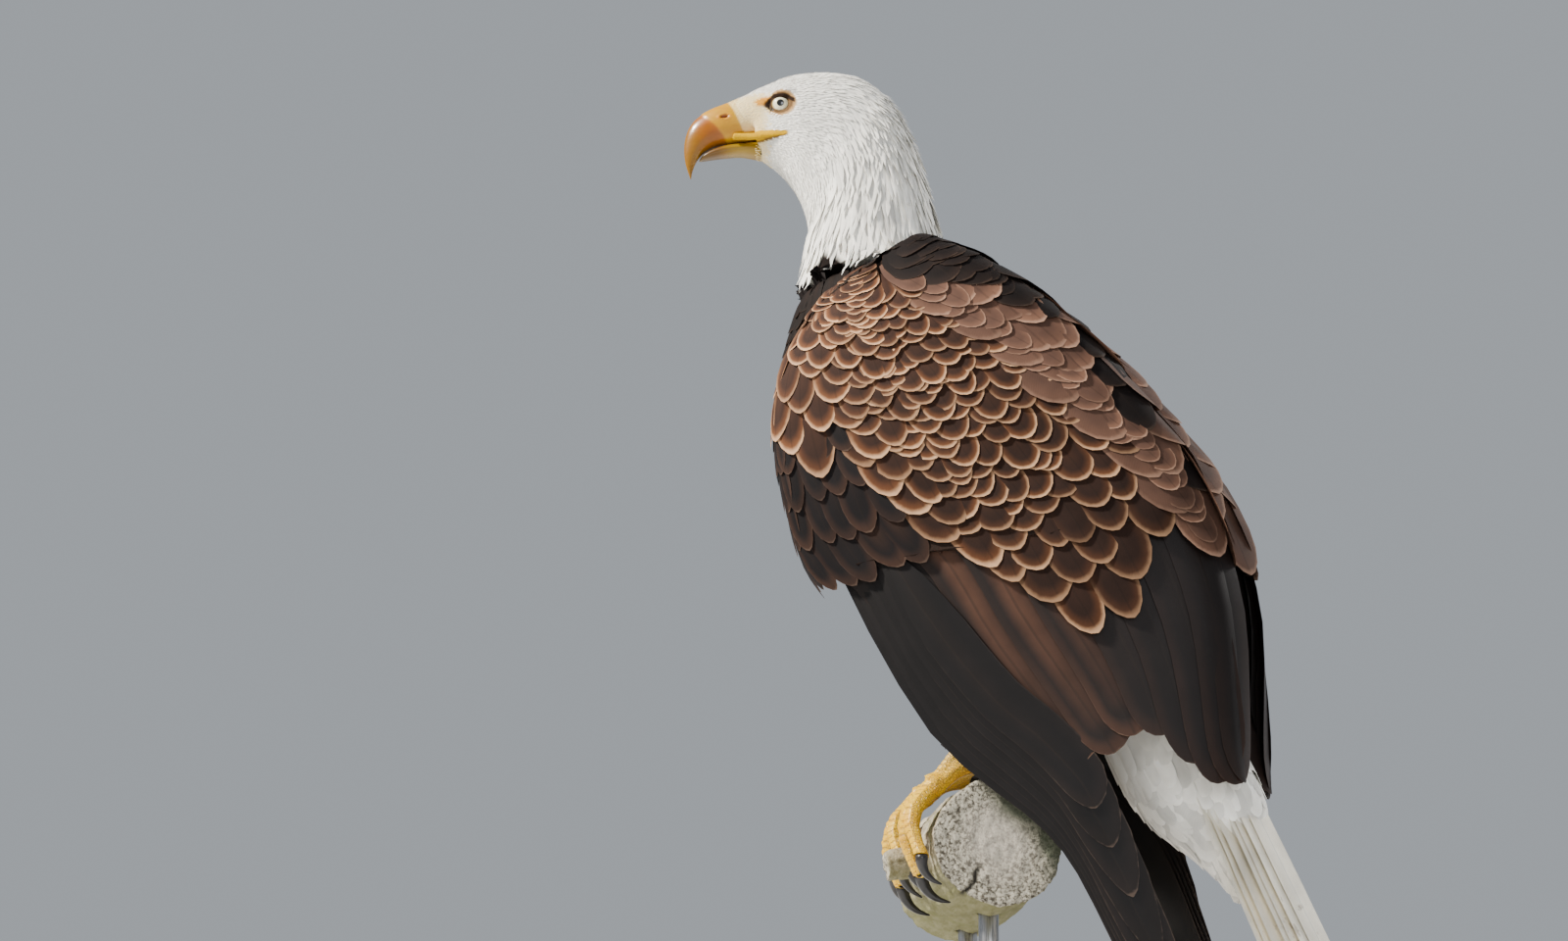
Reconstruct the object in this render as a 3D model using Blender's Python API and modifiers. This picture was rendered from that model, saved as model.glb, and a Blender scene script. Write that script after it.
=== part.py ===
"""A life-size bald eagle that grips a cut length of log, on a plain display stand.

The bird faces -Y with its left side at +X, and looks a little to its left. The origin is the centre
of the base's underside. Bird shapes are lofts and slabs through a few named sections, placed from a
point on the perch's axis and then moved to the stand's height.
"""

import math

import bmesh
import bpy
from mathutils import Matrix, Vector

# Stand and perch
BASE_RADIUS = 0.185
BASE_THICKNESS = 0.024
BASE_EDGE = 0.004
PERCH_HEIGHT = 0.290
PERCH_SHIFT = -0.030
PERCH_RADIUS = 0.048
PERCH_TAPER = 0.020
PERCH_TURN = math.radians(25)
PERCH_NEAR = 0.080
PERCH_FAR = -0.190
PERCH_BEHIND_BIRD = -0.009
ROD_RADIUS = 0.007
ROD_PLACES = (0.010, -0.125)
ROD_IN_PERCH = 0.022
ROD_IN_BASE = 0.012
GAP = 0.0003

# Bird
HEAD_CENTRE = Vector((0.000, -0.1175, 0.576))
HEAD_SCALE = 1.016
HEAD_TURN = math.radians(22)
EYE_RADIUS = 0.0095
EYE_FORWARD = 0.041
EYE_UP = 0.0058
EYE_OUT = 0.0190
FOOT_PLACES = {"left": 0.050, "right": -0.062}
FOOT_ANGLE = math.radians(44)
TAIL_ROOT = Vector((0.0, 0.136, 0.152))
TAIL_FALL = math.radians(65.5)
TAIL_LENGTH = 0.300
TAIL_ROLL = math.radians(14)
TAIL_FEATHERS = 12

UP = Vector((0, 0, 1))
BIRD_LIFT = -0.033
BIRD_ORIGIN = Vector((0, PERCH_SHIFT, PERCH_HEIGHT + BIRD_LIFT))
PERCH_AXIS = Vector((math.cos(PERCH_TURN), math.sin(PERCH_TURN), 0))
PERCH_FRONT = Vector((math.sin(PERCH_TURN), -math.cos(PERCH_TURN), 0))
PERCH_CENTRE = Vector((0, PERCH_BEHIND_BIRD, -BIRD_LIFT))


# ---------------------------------------------------------------- scene and materials
def clear_scene():
    for obj in list(bpy.data.objects):
        bpy.data.objects.remove(obj)


def new_collection(name, shown=True):
    collection = bpy.data.collections.new(name)
    collection.hide_render = not shown
    bpy.context.scene.collection.children.link(collection)
    return collection


def material(name, colour, roughness, metallic=0.0):
    made = bpy.data.materials.get(name) or bpy.data.materials.new(name)
    made.use_nodes = True
    shader = made.node_tree.nodes["Principled BSDF"]
    shader.inputs["Base Color"].default_value = (*colour, 1)
    shader.inputs["Roughness"].default_value = roughness
    shader.inputs["Metallic"].default_value = metallic
    return made


def finishes():
    return {
        "white_plumage": material("white_plumage", (0.86, 0.85, 0.81), 0.85),
        "dark_plumage": material("dark_plumage", (0.085, 0.055, 0.042), 0.80),
        "flight_plumage": material("flight_plumage", (0.060, 0.042, 0.036), 0.65),
        "bill": material("bill", (0.86, 0.50, 0.06), 0.35),
        "eye": material("eye", (0.80, 0.72, 0.42), 0.10),
        "foot_skin": material("foot_skin", (0.85, 0.58, 0.08), 0.50),
        "claw": material("claw", (0.035, 0.035, 0.042), 0.28),
        "log": material("log", (0.45, 0.40, 0.32), 0.90),
        "stand_wood": material("stand_wood", (0.11, 0.075, 0.05), 0.45),
        "stand_metal": material("stand_metal", (0.45, 0.45, 0.46), 0.35, 1.0),
    }


# ---------------------------------------------------------------- mesh helpers
def through(keys, count):
    """count rows, evenly spaced along a smooth curve through the rows of keys."""
    rows = []
    last = len(keys) - 1
    for i in range(count):
        place = i / (count - 1) * last
        k = min(int(place), last - 1)
        t = place - k
        before, here = keys[max(k - 1, 0)], keys[k]
        after, beyond = keys[k + 1], keys[min(k + 2, last)]
        rows.append(
            tuple(
                0.5 * (2 * b + (c - a) * t + (2 * a - 5 * b + 4 * c - d) * t * t
                       + (3 * b - a - 3 * c + d) * t ** 3)
                for a, b, c, d in zip(before, here, after, beyond)
            )
        )
    return rows


def add_mesh(name, bm, finish, collection):
    mesh = bpy.data.meshes.new(name)
    bmesh.ops.recalc_face_normals(bm, faces=bm.faces)
    if bm.calc_volume(signed=True) < 0:
        bmesh.ops.reverse_faces(bm, faces=bm.faces)
    bmesh.ops.triangulate(bm, faces=bm.faces)
    bm.to_mesh(mesh)
    bm.free()
    if finish:
        mesh.materials.append(finish)
    obj = bpy.data.objects.new(name, mesh)
    collection.objects.link(obj)
    mesh.shade_smooth()
    mesh.set_sharp_from_angle(angle=math.radians(50))
    return obj


def loft(name, rings, finish, collection, plate=False):
    """A closed skin through rings that have equal counts of points. Each end is a fan round its
    middle, or for a plate a strip between the ring's first half and its second half."""
    bm = bmesh.new()
    grid = [[bm.verts.new(point + BIRD_ORIGIN) for point in ring] for ring in rings]
    for low, high in zip(grid, grid[1:]):
        for k in range(len(low)):
            after = (k + 1) % len(low)
            bm.faces.new((low[k], low[after], high[after], high[k]))
    for ring in (grid[0], grid[-1]):
        if plate:
            for k in range(len(ring) // 2 - 1):
                bm.faces.new((ring[k], ring[k + 1], ring[-k - 2], ring[-k - 1]))
            continue
        middle = bm.verts.new(sum((v.co for v in ring), Vector()) / len(ring))
        for k in range(len(ring)):
            bm.faces.new((ring[k], ring[(k + 1) % len(ring)], middle))
    return add_mesh(name, bm, finish, collection)


def slab(name, outer, inner, finish, collection):
    """A closed plate between two grids of points, outer[row][column] and inner[row][column]."""
    rings = [list(top) + list(reversed(under)) for top, under in zip(outer, inner)]
    return loft(name, rings, finish, collection, plate=True)


def baked(obj):
    """obj with its modifiers made part of its mesh, as one body."""
    graph = bpy.context.evaluated_depsgraph_get()
    mesh = bpy.data.meshes.new_from_object(obj.evaluated_get(graph))
    obj.modifiers.clear()
    obj.data = mesh
    return obj


def largest_body(obj):
    """Deletes what a cut has left lying loose, and keeps the largest body."""
    bm = bmesh.new()
    bm.from_mesh(obj.data)
    left = set(bm.verts)
    bodies = []
    while left:
        front = [left.pop()]
        body = set(front)
        while front:
            for edge in front.pop().link_edges:
                for vert in edge.verts:
                    if vert in left:
                        left.discard(vert)
                        body.add(vert)
                        front.append(vert)
        bodies.append(body)
    keep = max(bodies, key=len)
    bmesh.ops.delete(bm, geom=[v for v in bm.verts if v not in keep], context="VERTS")
    bmesh.ops.triangulate(bm, faces=bm.faces)
    bm.to_mesh(obj.data)
    bm.free()
    return obj


def cutter_for(obj, cutters):
    """A helper copy of obj, grown outwards by the gap that neighbours keep."""
    bm = bmesh.new()
    bm.from_mesh(obj.data)
    bm.normal_update()
    moves = [(v, v.normal * GAP * min(v.calc_shell_factor(), 2.0)) for v in bm.verts]
    for vert, move in moves:
        vert.co += move
    mesh = bpy.data.meshes.new(obj.name + ".cutter")
    bm.to_mesh(mesh)
    bm.free()
    helper = bpy.data.objects.new(obj.name + ".cutter", mesh)
    helper.hide_render = True
    helper.display_type = "WIRE"
    cutters.objects.link(helper)
    return helper


def combine(obj, other, operation):
    modifier = obj.modifiers.new(operation.lower(), "BOOLEAN")
    modifier.operation = operation
    modifier.object = other
    modifier.solver = "EXACT"
    return baked(obj)


def fit_round(obj, helpers):
    """Cuts obj back so that it meets its neighbours with a thin gap."""
    for helper in helpers:
        combine(obj, helper, "DIFFERENCE")
        largest_body(obj)
    return obj


def mirrored(obj, name):
    """The right side's copy of a left piece."""
    bm = bmesh.new()
    bm.from_mesh(obj.data)
    bmesh.ops.scale(bm, vec=(-1, 1, 1), verts=bm.verts)
    bmesh.ops.reverse_faces(bm, faces=bm.faces)
    finish = obj.data.materials[0] if obj.data.materials else None
    return add_mesh(name, bm, finish, obj.users_collection[0])


def mirrored_helper(helper, name):
    copy = mirrored(helper, name)
    copy.hide_render = True
    copy.display_type = "WIRE"
    return copy


def joined(first, *others):
    """One body from several that overlap."""
    for other in others:
        combine(first, other, "UNION")
        bpy.data.objects.remove(other)
    return largest_body(first)


def ring_about(top, bottom, side, half_width, sides=16, fullness=0.92):
    """An oval ring through a top and a bottom point, half_width wide each way along side."""
    middle, reach = (top + bottom) / 2, (top - bottom) / 2
    ring = []
    for k in range(sides):
        angle = 2 * math.pi * k / sides
        across = math.copysign(abs(math.sin(angle)) ** fullness, math.sin(angle))
        ring.append(middle + reach * math.cos(angle) + side * half_width * across)
    return ring


# ---------------------------------------------------------------- trunk
# Each row is a section: back point (y, z), belly point (y, z), half width.
TRUNK_KEYS = [
    (-0.052, 0.490, -0.132, 0.472, 0.034),
    (-0.012, 0.458, -0.151, 0.418, 0.064),
    (0.022, 0.421, -0.158, 0.374, 0.078),
    (0.056, 0.382, -0.156, 0.325, 0.084),
    (0.088, 0.344, -0.141, 0.272, 0.084),
    (0.115, 0.301, -0.108, 0.222, 0.080),
    (0.134, 0.257, -0.075, 0.178, 0.073),
    (0.146, 0.212, -0.033, 0.143, 0.063),
    (0.150, 0.170, 0.015, 0.116, 0.052),
    (0.146, 0.132, 0.060, 0.100, 0.041),
]


def make_trunk(finish, collection):
    rings = [
        ring_about(Vector((0, dy, dz)), Vector((0, vy, vz)), Vector((1, 0, 0)), wide)
        for dy, dz, vy, vz, wide in through(TRUNK_KEYS, 12)
    ]
    return loft("trunk", rings, finish, collection)


# ---------------------------------------------------------------- head and neck
# Rows fan from the bill's root over the skull and down the neck: top (forward, up), bottom
# (forward, up), half width, all about the head's centre, and the share of the head's turn.
HEAD_KEYS = [
    (0.0640, 0.0215, 0.0600, -0.0285, 0.0165, 1.0),
    (0.0520, 0.0285, 0.0520, -0.0330, 0.0235, 1.0),
    (0.0390, 0.0338, 0.0430, -0.0400, 0.0300, 1.0),
    (0.0220, 0.0369, 0.0350, -0.0500, 0.0355, 1.0),
    (0.0030, 0.0374, 0.0290, -0.0610, 0.0385, 1.0),
    (-0.0180, 0.0335, 0.0255, -0.0715, 0.0405, 1.0),
    (-0.0360, 0.0200, 0.0240, -0.0800, 0.0420, 0.9),
    (-0.0500, 0.0000, 0.0235, -0.0860, 0.0435, 0.8),
]
NECK_KEYS = [
    (-0.0503, -0.0004, 0.0235, -0.0865, 0.0436, 0.8),
    (-0.0600, -0.0260, 0.0240, -0.0895, 0.0455, 0.6),
    (-0.0690, -0.0550, 0.0242, -0.0930, 0.0465, 0.3),
    (-0.0780, -0.0920, 0.0240, -0.1030, 0.0490, 0.0),
    (-0.0810, -0.1040, 0.0250, -0.1200, 0.0540, 0.0),
    (-0.0830, -0.1120, 0.0290, -0.1360, 0.0600, 0.0),
]


def head_axes(share=1.0):
    """The head's forward and leftward directions, at a share of its turn."""
    turn = HEAD_TURN * share
    return (
        Vector((math.sin(turn), -math.cos(turn), 0)),
        Vector((math.cos(turn), math.sin(turn), 0)),
    )


def head_point(forward, up, left=0.0, share=1.0):
    ahead, aside = head_axes(share)
    return HEAD_CENTRE + (ahead * forward + aside * left + UP * up) * HEAD_SCALE


def head_rings(keys, count, sides=16):
    rings = []
    for tf, tu, bf, bu, wide, share in through(keys, count):
        top, bottom = head_point(tf, tu, 0, share), head_point(bf, bu, 0, share)
        rings.append(ring_about(top, bottom, head_axes(share)[1], wide, sides))
    return rings


def make_head(finish, collection):
    head = loft("head", head_rings(HEAD_KEYS, 11), finish, collection)
    return head


def make_neck(finish, collection):
    return loft("neck", head_rings(NECK_KEYS, 6), finish, collection)


# Bill rows: top (forward, up), bottom (forward, up), half width.
UPPER_BILL_KEYS = [
    (0.0540, 0.0228, 0.0530, -0.0150, 0.0120),
    (0.0640, 0.0205, 0.0625, -0.0155, 0.0126),
    (0.0720, 0.0168, 0.0710, -0.0160, 0.0127),
    (0.0830, 0.0124, 0.0810, -0.0172, 0.0122),
    (0.0912, 0.0092, 0.0900, -0.0196, 0.0112),
    (0.0990, 0.0050, 0.0968, -0.0232, 0.0098),
    (0.1058, -0.0008, 0.1008, -0.0272, 0.0081),
    (0.1102, -0.0088, 0.1033, -0.0310, 0.0062),
    (0.1121, -0.0192, 0.1048, -0.0345, 0.0044),
    (0.1112, -0.0312, 0.1062, -0.0390, 0.0026),
    (0.1075, -0.0430, 0.1068, -0.0434, 0.0007),
]
LOWER_BILL_KEYS = [
    (0.0570, -0.0160, 0.0560, -0.0286, 0.0112),
    (0.0700, -0.0172, 0.0700, -0.0260, 0.0103),
    (0.0815, -0.0184, 0.0810, -0.0268, 0.0092),
    (0.0905, -0.0210, 0.0915, -0.0283, 0.0074),
    (0.0965, -0.0244, 0.0985, -0.0297, 0.0050),
    (0.1002, -0.0284, 0.1008, -0.0300, 0.0016),
]


def bill_rings(keys, count, sides, fullness):
    aside = head_axes()[1]
    return [
        ring_about(head_point(tf, tu), head_point(bf, bu), aside, wide, sides, fullness)
        for tf, tu, bf, bu, wide in through(keys, count)
    ]


def tapered_tube(name, points, radii, finish, collection, sides=2):
    """A closed tube of changing thickness, as a mesh made from a bevelled curve."""
    curve = bpy.data.curves.new(name, "CURVE")
    curve.dimensions = "3D"
    curve.bevel_depth = 1.0
    curve.bevel_resolution = sides
    curve.use_fill_caps = True
    spline = curve.splines.new("POLY")
    spline.points.add(len(points) - 1)
    for place, point, radius in zip(spline.points, points, radii):
        place.co = (*(point + BIRD_ORIGIN), 1)
        place.radius = radius
    holder = bpy.data.objects.new(name, curve)
    collection.objects.link(holder)
    graph = bpy.context.evaluated_depsgraph_get()
    bm = bmesh.new()
    bm.from_mesh(bpy.data.meshes.new_from_object(holder.evaluated_get(graph)))
    bmesh.ops.remove_doubles(bm, verts=bm.verts, dist=0.00001)
    bpy.data.objects.remove(holder)
    return add_mesh(name, bm, finish, collection)


def make_bill(finish, collection):
    upper = loft("bill_upper", bill_rings(UPPER_BILL_KEYS, 12, 14, 0.80), finish, collection)
    lower = loft("bill_lower", bill_rings(LOWER_BILL_KEYS, 7, 12, 0.85), finish, collection)
    return upper, lower


def make_eye(side, mirror, finish, collection):
    bm = bmesh.new()
    centre = head_point(EYE_FORWARD, EYE_UP, EYE_OUT * mirror) + BIRD_ORIGIN
    bmesh.ops.create_uvsphere(
        bm, u_segments=12, v_segments=6, radius=EYE_RADIUS, matrix=Matrix.Translation(centre)
    )
    return add_mesh(f"eye_{side}", bm, finish, collection)


# ---------------------------------------------------------------- wings
# Each row is a section of the folded left wing: its leading edge, then its edge along the back.
WING_KEYS = [
    (0.082, -0.100, 0.418, 0.040, -0.036, 0.464),
    (0.096, -0.119, 0.372, 0.040, 0.009, 0.443),
    (0.101, -0.124, 0.325, 0.038, 0.051, 0.412),
    (0.102, -0.116, 0.280, 0.037, 0.091, 0.373),
    (0.099, -0.101, 0.232, 0.036, 0.126, 0.329),
    (0.095, -0.070, 0.193, 0.035, 0.154, 0.287),
    (0.092, -0.038, 0.138, 0.034, 0.173, 0.240),
    (0.088, 0.010, 0.083, 0.033, 0.184, 0.190),
    (0.085, 0.052, 0.050, 0.032, 0.187, 0.130),
    (0.080, 0.088, 0.008, 0.031, 0.188, 0.068),
]
WING_BULGE = 0.009
WING_FRONT = 0.022
WING_STATIONS = len(WING_KEYS) - 1


def wing_at(station, angle, inset=0.0):
    """A point on the folded left wing's outer side. Station counts the rows of WING_KEYS, and
    angle goes from the leading edge at 0 to the back at 90 degrees."""
    k = min(int(station), WING_STATIONS - 1)
    rows = [WING_KEYS[min(max(k + step, 0), WING_STATIONS)] for step in (-1, 0, 1, 2)]
    t = station - k
    ex, ey, ez, bx, by, bz = (
        0.5 * (2 * b + (c - a) * t + (2 * a - 5 * b + 4 * c - d) * t * t
               + (3 * b - a - 3 * c + d) * t ** 3)
        for a, b, c, d in zip(*rows)
    )
    turn = math.radians(angle)
    across = Vector((ex - bx, 0, 0))
    along = Vector((0, by - ey, bz - ez))
    middle = Vector((bx, ey, ez))
    swell = WING_BULGE * (1 - 0.07 * station) * math.sin(2 * turn)
    if angle < 0:
        along = along.normalized() * WING_FRONT
        swell = 0
    point = middle + across * math.cos(turn) + along * math.sin(turn)
    outward = (across.normalized() * math.cos(turn) + along.normalized() * math.sin(turn))
    return point + outward * (swell - inset)


def wing_slab(name, angles, ends, insets, rows, finish, collection, step=0.0):
    """A plate that follows the wing. ends(angle) gives its first and last station, insets(share)
    the depth of its outer and inner sides, and step raises the edge of every second column."""
    outer, inner = [], []
    for row in range(rows):
        share = row / (rows - 1)
        top, under = [], []
        for column, angle in enumerate(angles):
            first, last = ends(angle)
            station = first + (last - first) * share
            shallow, deep = insets(share)
            lift = step if column % 2 else 0.0
            top.append(wing_at(station, angle, shallow + lift))
            under.append(wing_at(station, angle, deep))
        outer.append(top)
        inner.append(under)
    return slab(name, outer, inner, finish, collection)


def blend_rows(rows, place):
    """The value of a table of (place, value) at a place, linearly between its rows."""
    for (a, low), (b, high) in zip(rows, rows[1:]):
        if place <= b:
            return low + (high - low) * max(place - a, 0) / (b - a)
    return rows[-1][1]


# Where the tips of each layer of feathers end, by angle round the wing.
COVERT_TIPS = [(-55, 4.0), (0, 4.4), (20, 5.0), (45, 5.5), (70, 5.9), (90, 6.0)]
SECONDARY_TIPS = [(0, 7.3), (17, 7.75), (31, 7.9), (50, 8.1), (70, 8.4), (92, 9.0)]


def make_coverts(finish, collection):
    return wing_slab(
        "wing_left_coverts", [-55, -20, 5, 20, 38, 56, 72, 88],
        lambda angle: (0.0, blend_rows(COVERT_TIPS, angle)),
        lambda share: (0.0, 0.034 - 0.028 * share ** 2),
        8, finish["dark_plumage"], collection,
    )


def make_secondaries(finish, collection):
    feathers = 7
    angles = [6 + (94 - 6) * (k + d) / feathers for k in range(feathers) for d in (0, 0.93)]

    def secondary_ends(angle):
        position = (angle - 6) / (94 - 6) * feathers % 1
        scallop = 0.22 * abs(2 * position - 1) ** 2
        return 4.0, blend_rows(SECONDARY_TIPS, angle) - scallop

    return wing_slab(
        "wing_left_secondaries", angles, secondary_ends,
        lambda share: (0.0035, 0.014 - 0.005 * share),
        6, finish["flight_plumage"], collection, 0.0012,
    )


# Rows of the hand's stacked primaries, from their roots to the wing tip: outer edge, inner edge.
PRIMARY_KEYS = [
    (0.094, -0.085, 0.213, 0.096, -0.030, 0.225),
    (0.094, -0.050, 0.158, 0.095, 0.002, 0.175),
    (0.092, -0.015, 0.107, 0.092, 0.040, 0.130),
    (0.088, 0.017, 0.077, 0.088, 0.070, 0.104),
    (0.084, 0.050, 0.053, 0.083, 0.092, 0.076),
    (0.079, 0.073, 0.031, 0.077, 0.102, 0.051),
    (0.073, 0.089, 0.005, 0.070, 0.115, 0.021),
    (0.066, 0.107, -0.035, 0.061, 0.131, -0.018),
    (0.059, 0.131, -0.081, 0.052, 0.152, -0.066),
    (0.052, 0.155, -0.120, 0.046, 0.172, -0.110),
    (0.047, 0.171, -0.136, 0.044, 0.178, -0.132),
]
PRIMARY_THICKNESS = 0.009


def make_primaries(finish, collection):
    columns = 5
    outer, inner = [], []
    for ox, oy, oz, ix, iy, iz in through(PRIMARY_KEYS, 12):
        low, high = Vector((ox, oy, oz)), Vector((ix, iy, iz))
        top, under = [], []
        for column in range(columns):
            t = column / (columns - 1)
            step = 0.0012 if column % 2 else 0.0
            crown = 0.003 * math.sin(math.pi * t)
            depth = PRIMARY_THICKNESS * (0.35 + 0.65 * math.sin(math.pi * min(t + 0.15, 1)))
            top.append(low.lerp(high, t) + Vector((crown - step, 0, 0)))
            under.append(low.lerp(high, t) - Vector((depth, 0, 0)))
        outer.append(top)
        inner.append(under)
    return slab("wing_left_primaries", outer, inner, finish["flight_plumage"], collection)


SCAPULAR_ANGLES = (46, 60, 76, 92, 104, 118)
SCAPULAR_TIPS = [(46, 4.9), (70, 6.0), (88, 6.6), (118, 5.6)]
SCAPULAR_DEPTH = 0.016


def make_scapulars(finish, collection):
    """The long shoulder feathers that lie along the back, over the wing's inner edge."""
    outer, inner = [], []
    rows = 8
    for row in range(rows):
        share = row / (rows - 1)
        top, under = [], []
        for column, angle in enumerate(SCAPULAR_ANGLES):
            edge = column / (len(SCAPULAR_ANGLES) - 1)
            station = 0.15 + (blend_rows(SCAPULAR_TIPS, angle) - 0.15) * share
            lift = 0.001 + 0.006 * math.sin(math.pi * edge) * (1 - 0.4 * share)
            beyond = max(angle - 92, 0)
            over = Vector((-0.0011, -0.0003, -0.0002)) * beyond
            depth = SCAPULAR_DEPTH * (1 - 0.6 * share)
            top.append(wing_at(station, min(angle, 92), -lift) + over)
            under.append(wing_at(station, min(angle, 92), depth) + over)
        outer.append(top)
        inner.append(under)
    return slab("wing_left_scapulars", outer, inner, finish["dark_plumage"], collection)



# ---------------------------------------------------------------- tail
def tail_axes():
    along = Vector((0, math.cos(TAIL_FALL), -math.sin(TAIL_FALL)))
    above = Vector((0, math.sin(TAIL_FALL), math.cos(TAIL_FALL)))
    roll = Matrix.Rotation(TAIL_ROLL, 3, along)
    return along, roll @ Vector((1, 0, 0)), roll @ above


def tail_point(distance, across, height):
    along, aside, above = tail_axes()
    return TAIL_ROOT + along * distance + aside * across + above * height


def make_tail(finish, collection):
    """Twelve folded tail feathers, which lie like a low tent with the middle pair on top."""
    outer, inner = [], []
    rows = 5
    shares = [-1 + 2 * (k + d) / TAIL_FEATHERS for k in range(TAIL_FEATHERS) for d in (0.06, 0.94)]
    for row in range(rows):
        along = row / (rows - 1)
        top, under = [], []
        for column, share in enumerate(shares):
            reach = TAIL_LENGTH * (1 - 0.07 * share * share)
            distance = 0.035 + (reach - 0.035) * along
            half_width = 0.024 + 0.029 * along
            tent = -0.020 * abs(share) ** 1.4 * (0.7 + 0.3 * along)
            step = 0.0012 * (column % 2)
            top.append(tail_point(distance, share * half_width, tent + 0.003 - step))
            under.append(tail_point(distance, share * half_width, tent - 0.0050))
        outer.append(top)
        inner.append(under)
    return slab("tail", outer, inner, finish["white_plumage"], collection)


# Rows of the white sleeve of coverts round the tail's root: distance, half width, half height.
TAIL_COVERT_KEYS = [
    (0.005, 0.040, 0.044, -0.034),
    (0.040, 0.042, 0.045, -0.034),
    (0.080, 0.040, 0.041, -0.031),
    (0.106, 0.036, 0.033, -0.026),
    (0.127, 0.030, 0.020, -0.026),
    (0.147, 0.021, 0.010, -0.028),
    (0.160, 0.011, 0.004, -0.030),
]


def make_tail_coverts(finish, collection):
    rings = [
        ring_about(
            tail_point(distance, 0, middle + high),
            tail_point(distance, 0, middle - high),
            tail_axes()[1], wide, 16,
        )
        for distance, wide, high, middle in through(TAIL_COVERT_KEYS, 9)
    ]
    return loft("tail_coverts", rings, finish["white_plumage"], collection)


# ---------------------------------------------------------------- legs and feet
def perch_radius(place):
    """The log grows thicker away from its sawn near end."""
    return PERCH_RADIUS - PERCH_TAPER * place


def on_perch(place, angle, height):
    """A point round the perch: place along its axis, angle from its top towards its front."""
    out = PERCH_FRONT * math.sin(angle) + UP * math.cos(angle)
    return PERCH_CENTRE + PERCH_AXIS * place + out * (perch_radius(place) + height)


def foot_root(side):
    return on_perch(FOOT_PLACES[side], FOOT_ANGLE, 0.011)


def leg_sections(side, mirror):
    """Points down the leg with its half width and half depth: thigh, shank and ankle."""
    ankle = foot_root(side)
    knee = Vector((0.056 * mirror, -0.008, 0.190))
    calf = Vector((0.057 * mirror, 0.002, 0.150))
    hock = Vector((0.053 * mirror, 0.004, 0.116))
    return knee, calf, hock, ankle


def make_thigh(side, mirror, finish, collection):
    knee, calf, hock, ankle = leg_sections(side, mirror)
    rows = through(
        [
            (*(knee + Vector((0, 0, 0.035))), 0.026, 0.042),
            (*knee, 0.033, 0.042),
            (*calf, 0.031, 0.038),
            (*hock, 0.023, 0.025),
            (*hock.lerp(ankle, 0.38), 0.0135, 0.0145),
        ],
        8,
    )
    rings = [
        ring_about(
            Vector((x, y + deep, z + 0.3 * deep)), Vector((x, y - deep, z - 0.3 * deep)),
            Vector((1, 0, 0)), wide, 12,
        )
        for x, y, z, wide, deep in rows
    ]
    return loft(f"leg_{side}_thigh", rings, finish["dark_plumage"], collection)


# Toes: spread angle, length of the toe along the perch's curve, claw length, thickness.
FRONT_TOES = {"inner": (-30, 0.052, 0.038, 0.0078), "middle": (0, 0.068, 0.036, 0.0078),
              "outer": (27, 0.056, 0.032, 0.0072)}
HIND_TOE = ("hind", (6, 0.040, 0.040, 0.0080))
KNUCKLE_LIFT = 0.006


def toe_path(side, mirror, start, direction, reach, thick, spread_angle):
    """Points and radii of a toe that arches over the perch from the foot's pad."""
    points, radii = [], []
    steps = 6
    radius = perch_radius(FOOT_PLACES[side]) + thick
    for k in range(steps):
        t = k / (steps - 1)
        angle = start + direction * reach / radius * t
        sideways = math.tan(math.radians(spread_angle)) * reach * t * mirror
        arch = KNUCKLE_LIFT * math.sin(math.pi * min(t * 1.08, 1)) * (1 if direction > 0 else 0.3)
        knuckle = 1 + 0.10 * math.cos(4 * math.pi * t)
        width = thick * (1.05 - 0.30 * t) * knuckle
        height = width + 0.0006 + arch
        points.append(on_perch(FOOT_PLACES[side] + sideways, angle, height))
        radii.append(width)
    return points, radii, angle, FOOT_PLACES[side] + sideways, height


def claw_path(place, angle, direction, height, length, root):
    """A talon that springs up from the toe's end and hooks down to the perch."""
    points, radii = [], []
    steps = 5
    for k in range(steps):
        t = k / (steps - 1)
        turned = angle + direction * (length * 0.86 * t) / (PERCH_RADIUS + 0.010)
        rise = height + 0.0035 * math.sin(math.pi * t * 0.9) - (height - 0.0012) * t ** 1.6
        points.append(on_perch(place, turned, rise))
        radii.append(max(root * (1 - t) ** 0.75, 0.0005))
    return points, radii


def make_foot(side, mirror, finish, collection):
    """Shank, pad and four toes as one body, and each claw as its own."""
    knee, calf, hock, ankle = leg_sections(side, mirror)
    shank = [hock.lerp(ankle, t) for t in (0.0, 0.35, 0.7, 1.0)]
    foot = tapered_tube(
        f"leg_{side}_foot", shank, [0.0085, 0.0082, 0.0088, 0.0100], finish["foot_skin"], collection
    )
    claws = []
    toes = list(FRONT_TOES.items()) + [HIND_TOE]
    for toe, (angle, reach, claw_length, thick) in toes:
        forward = 1 if toe != "hind" else -1
        points, radii, turned, place, height = toe_path(
            side, mirror, FOOT_ANGLE, forward, reach, thick, angle
        )
        body = tapered_tube("toe", points, radii, finish["foot_skin"], collection, 1)
        joined(foot, body)
        root = thick * 0.74
        start = turned - forward * 0.003 / PERCH_RADIUS
        path, sizes = claw_path(place, start, forward, height, claw_length, root)
        claws.append(
            tapered_tube(f"claw_{side}_{toe}", path, sizes, finish["claw"], collection, 1)
        )
    return foot, claws


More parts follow.
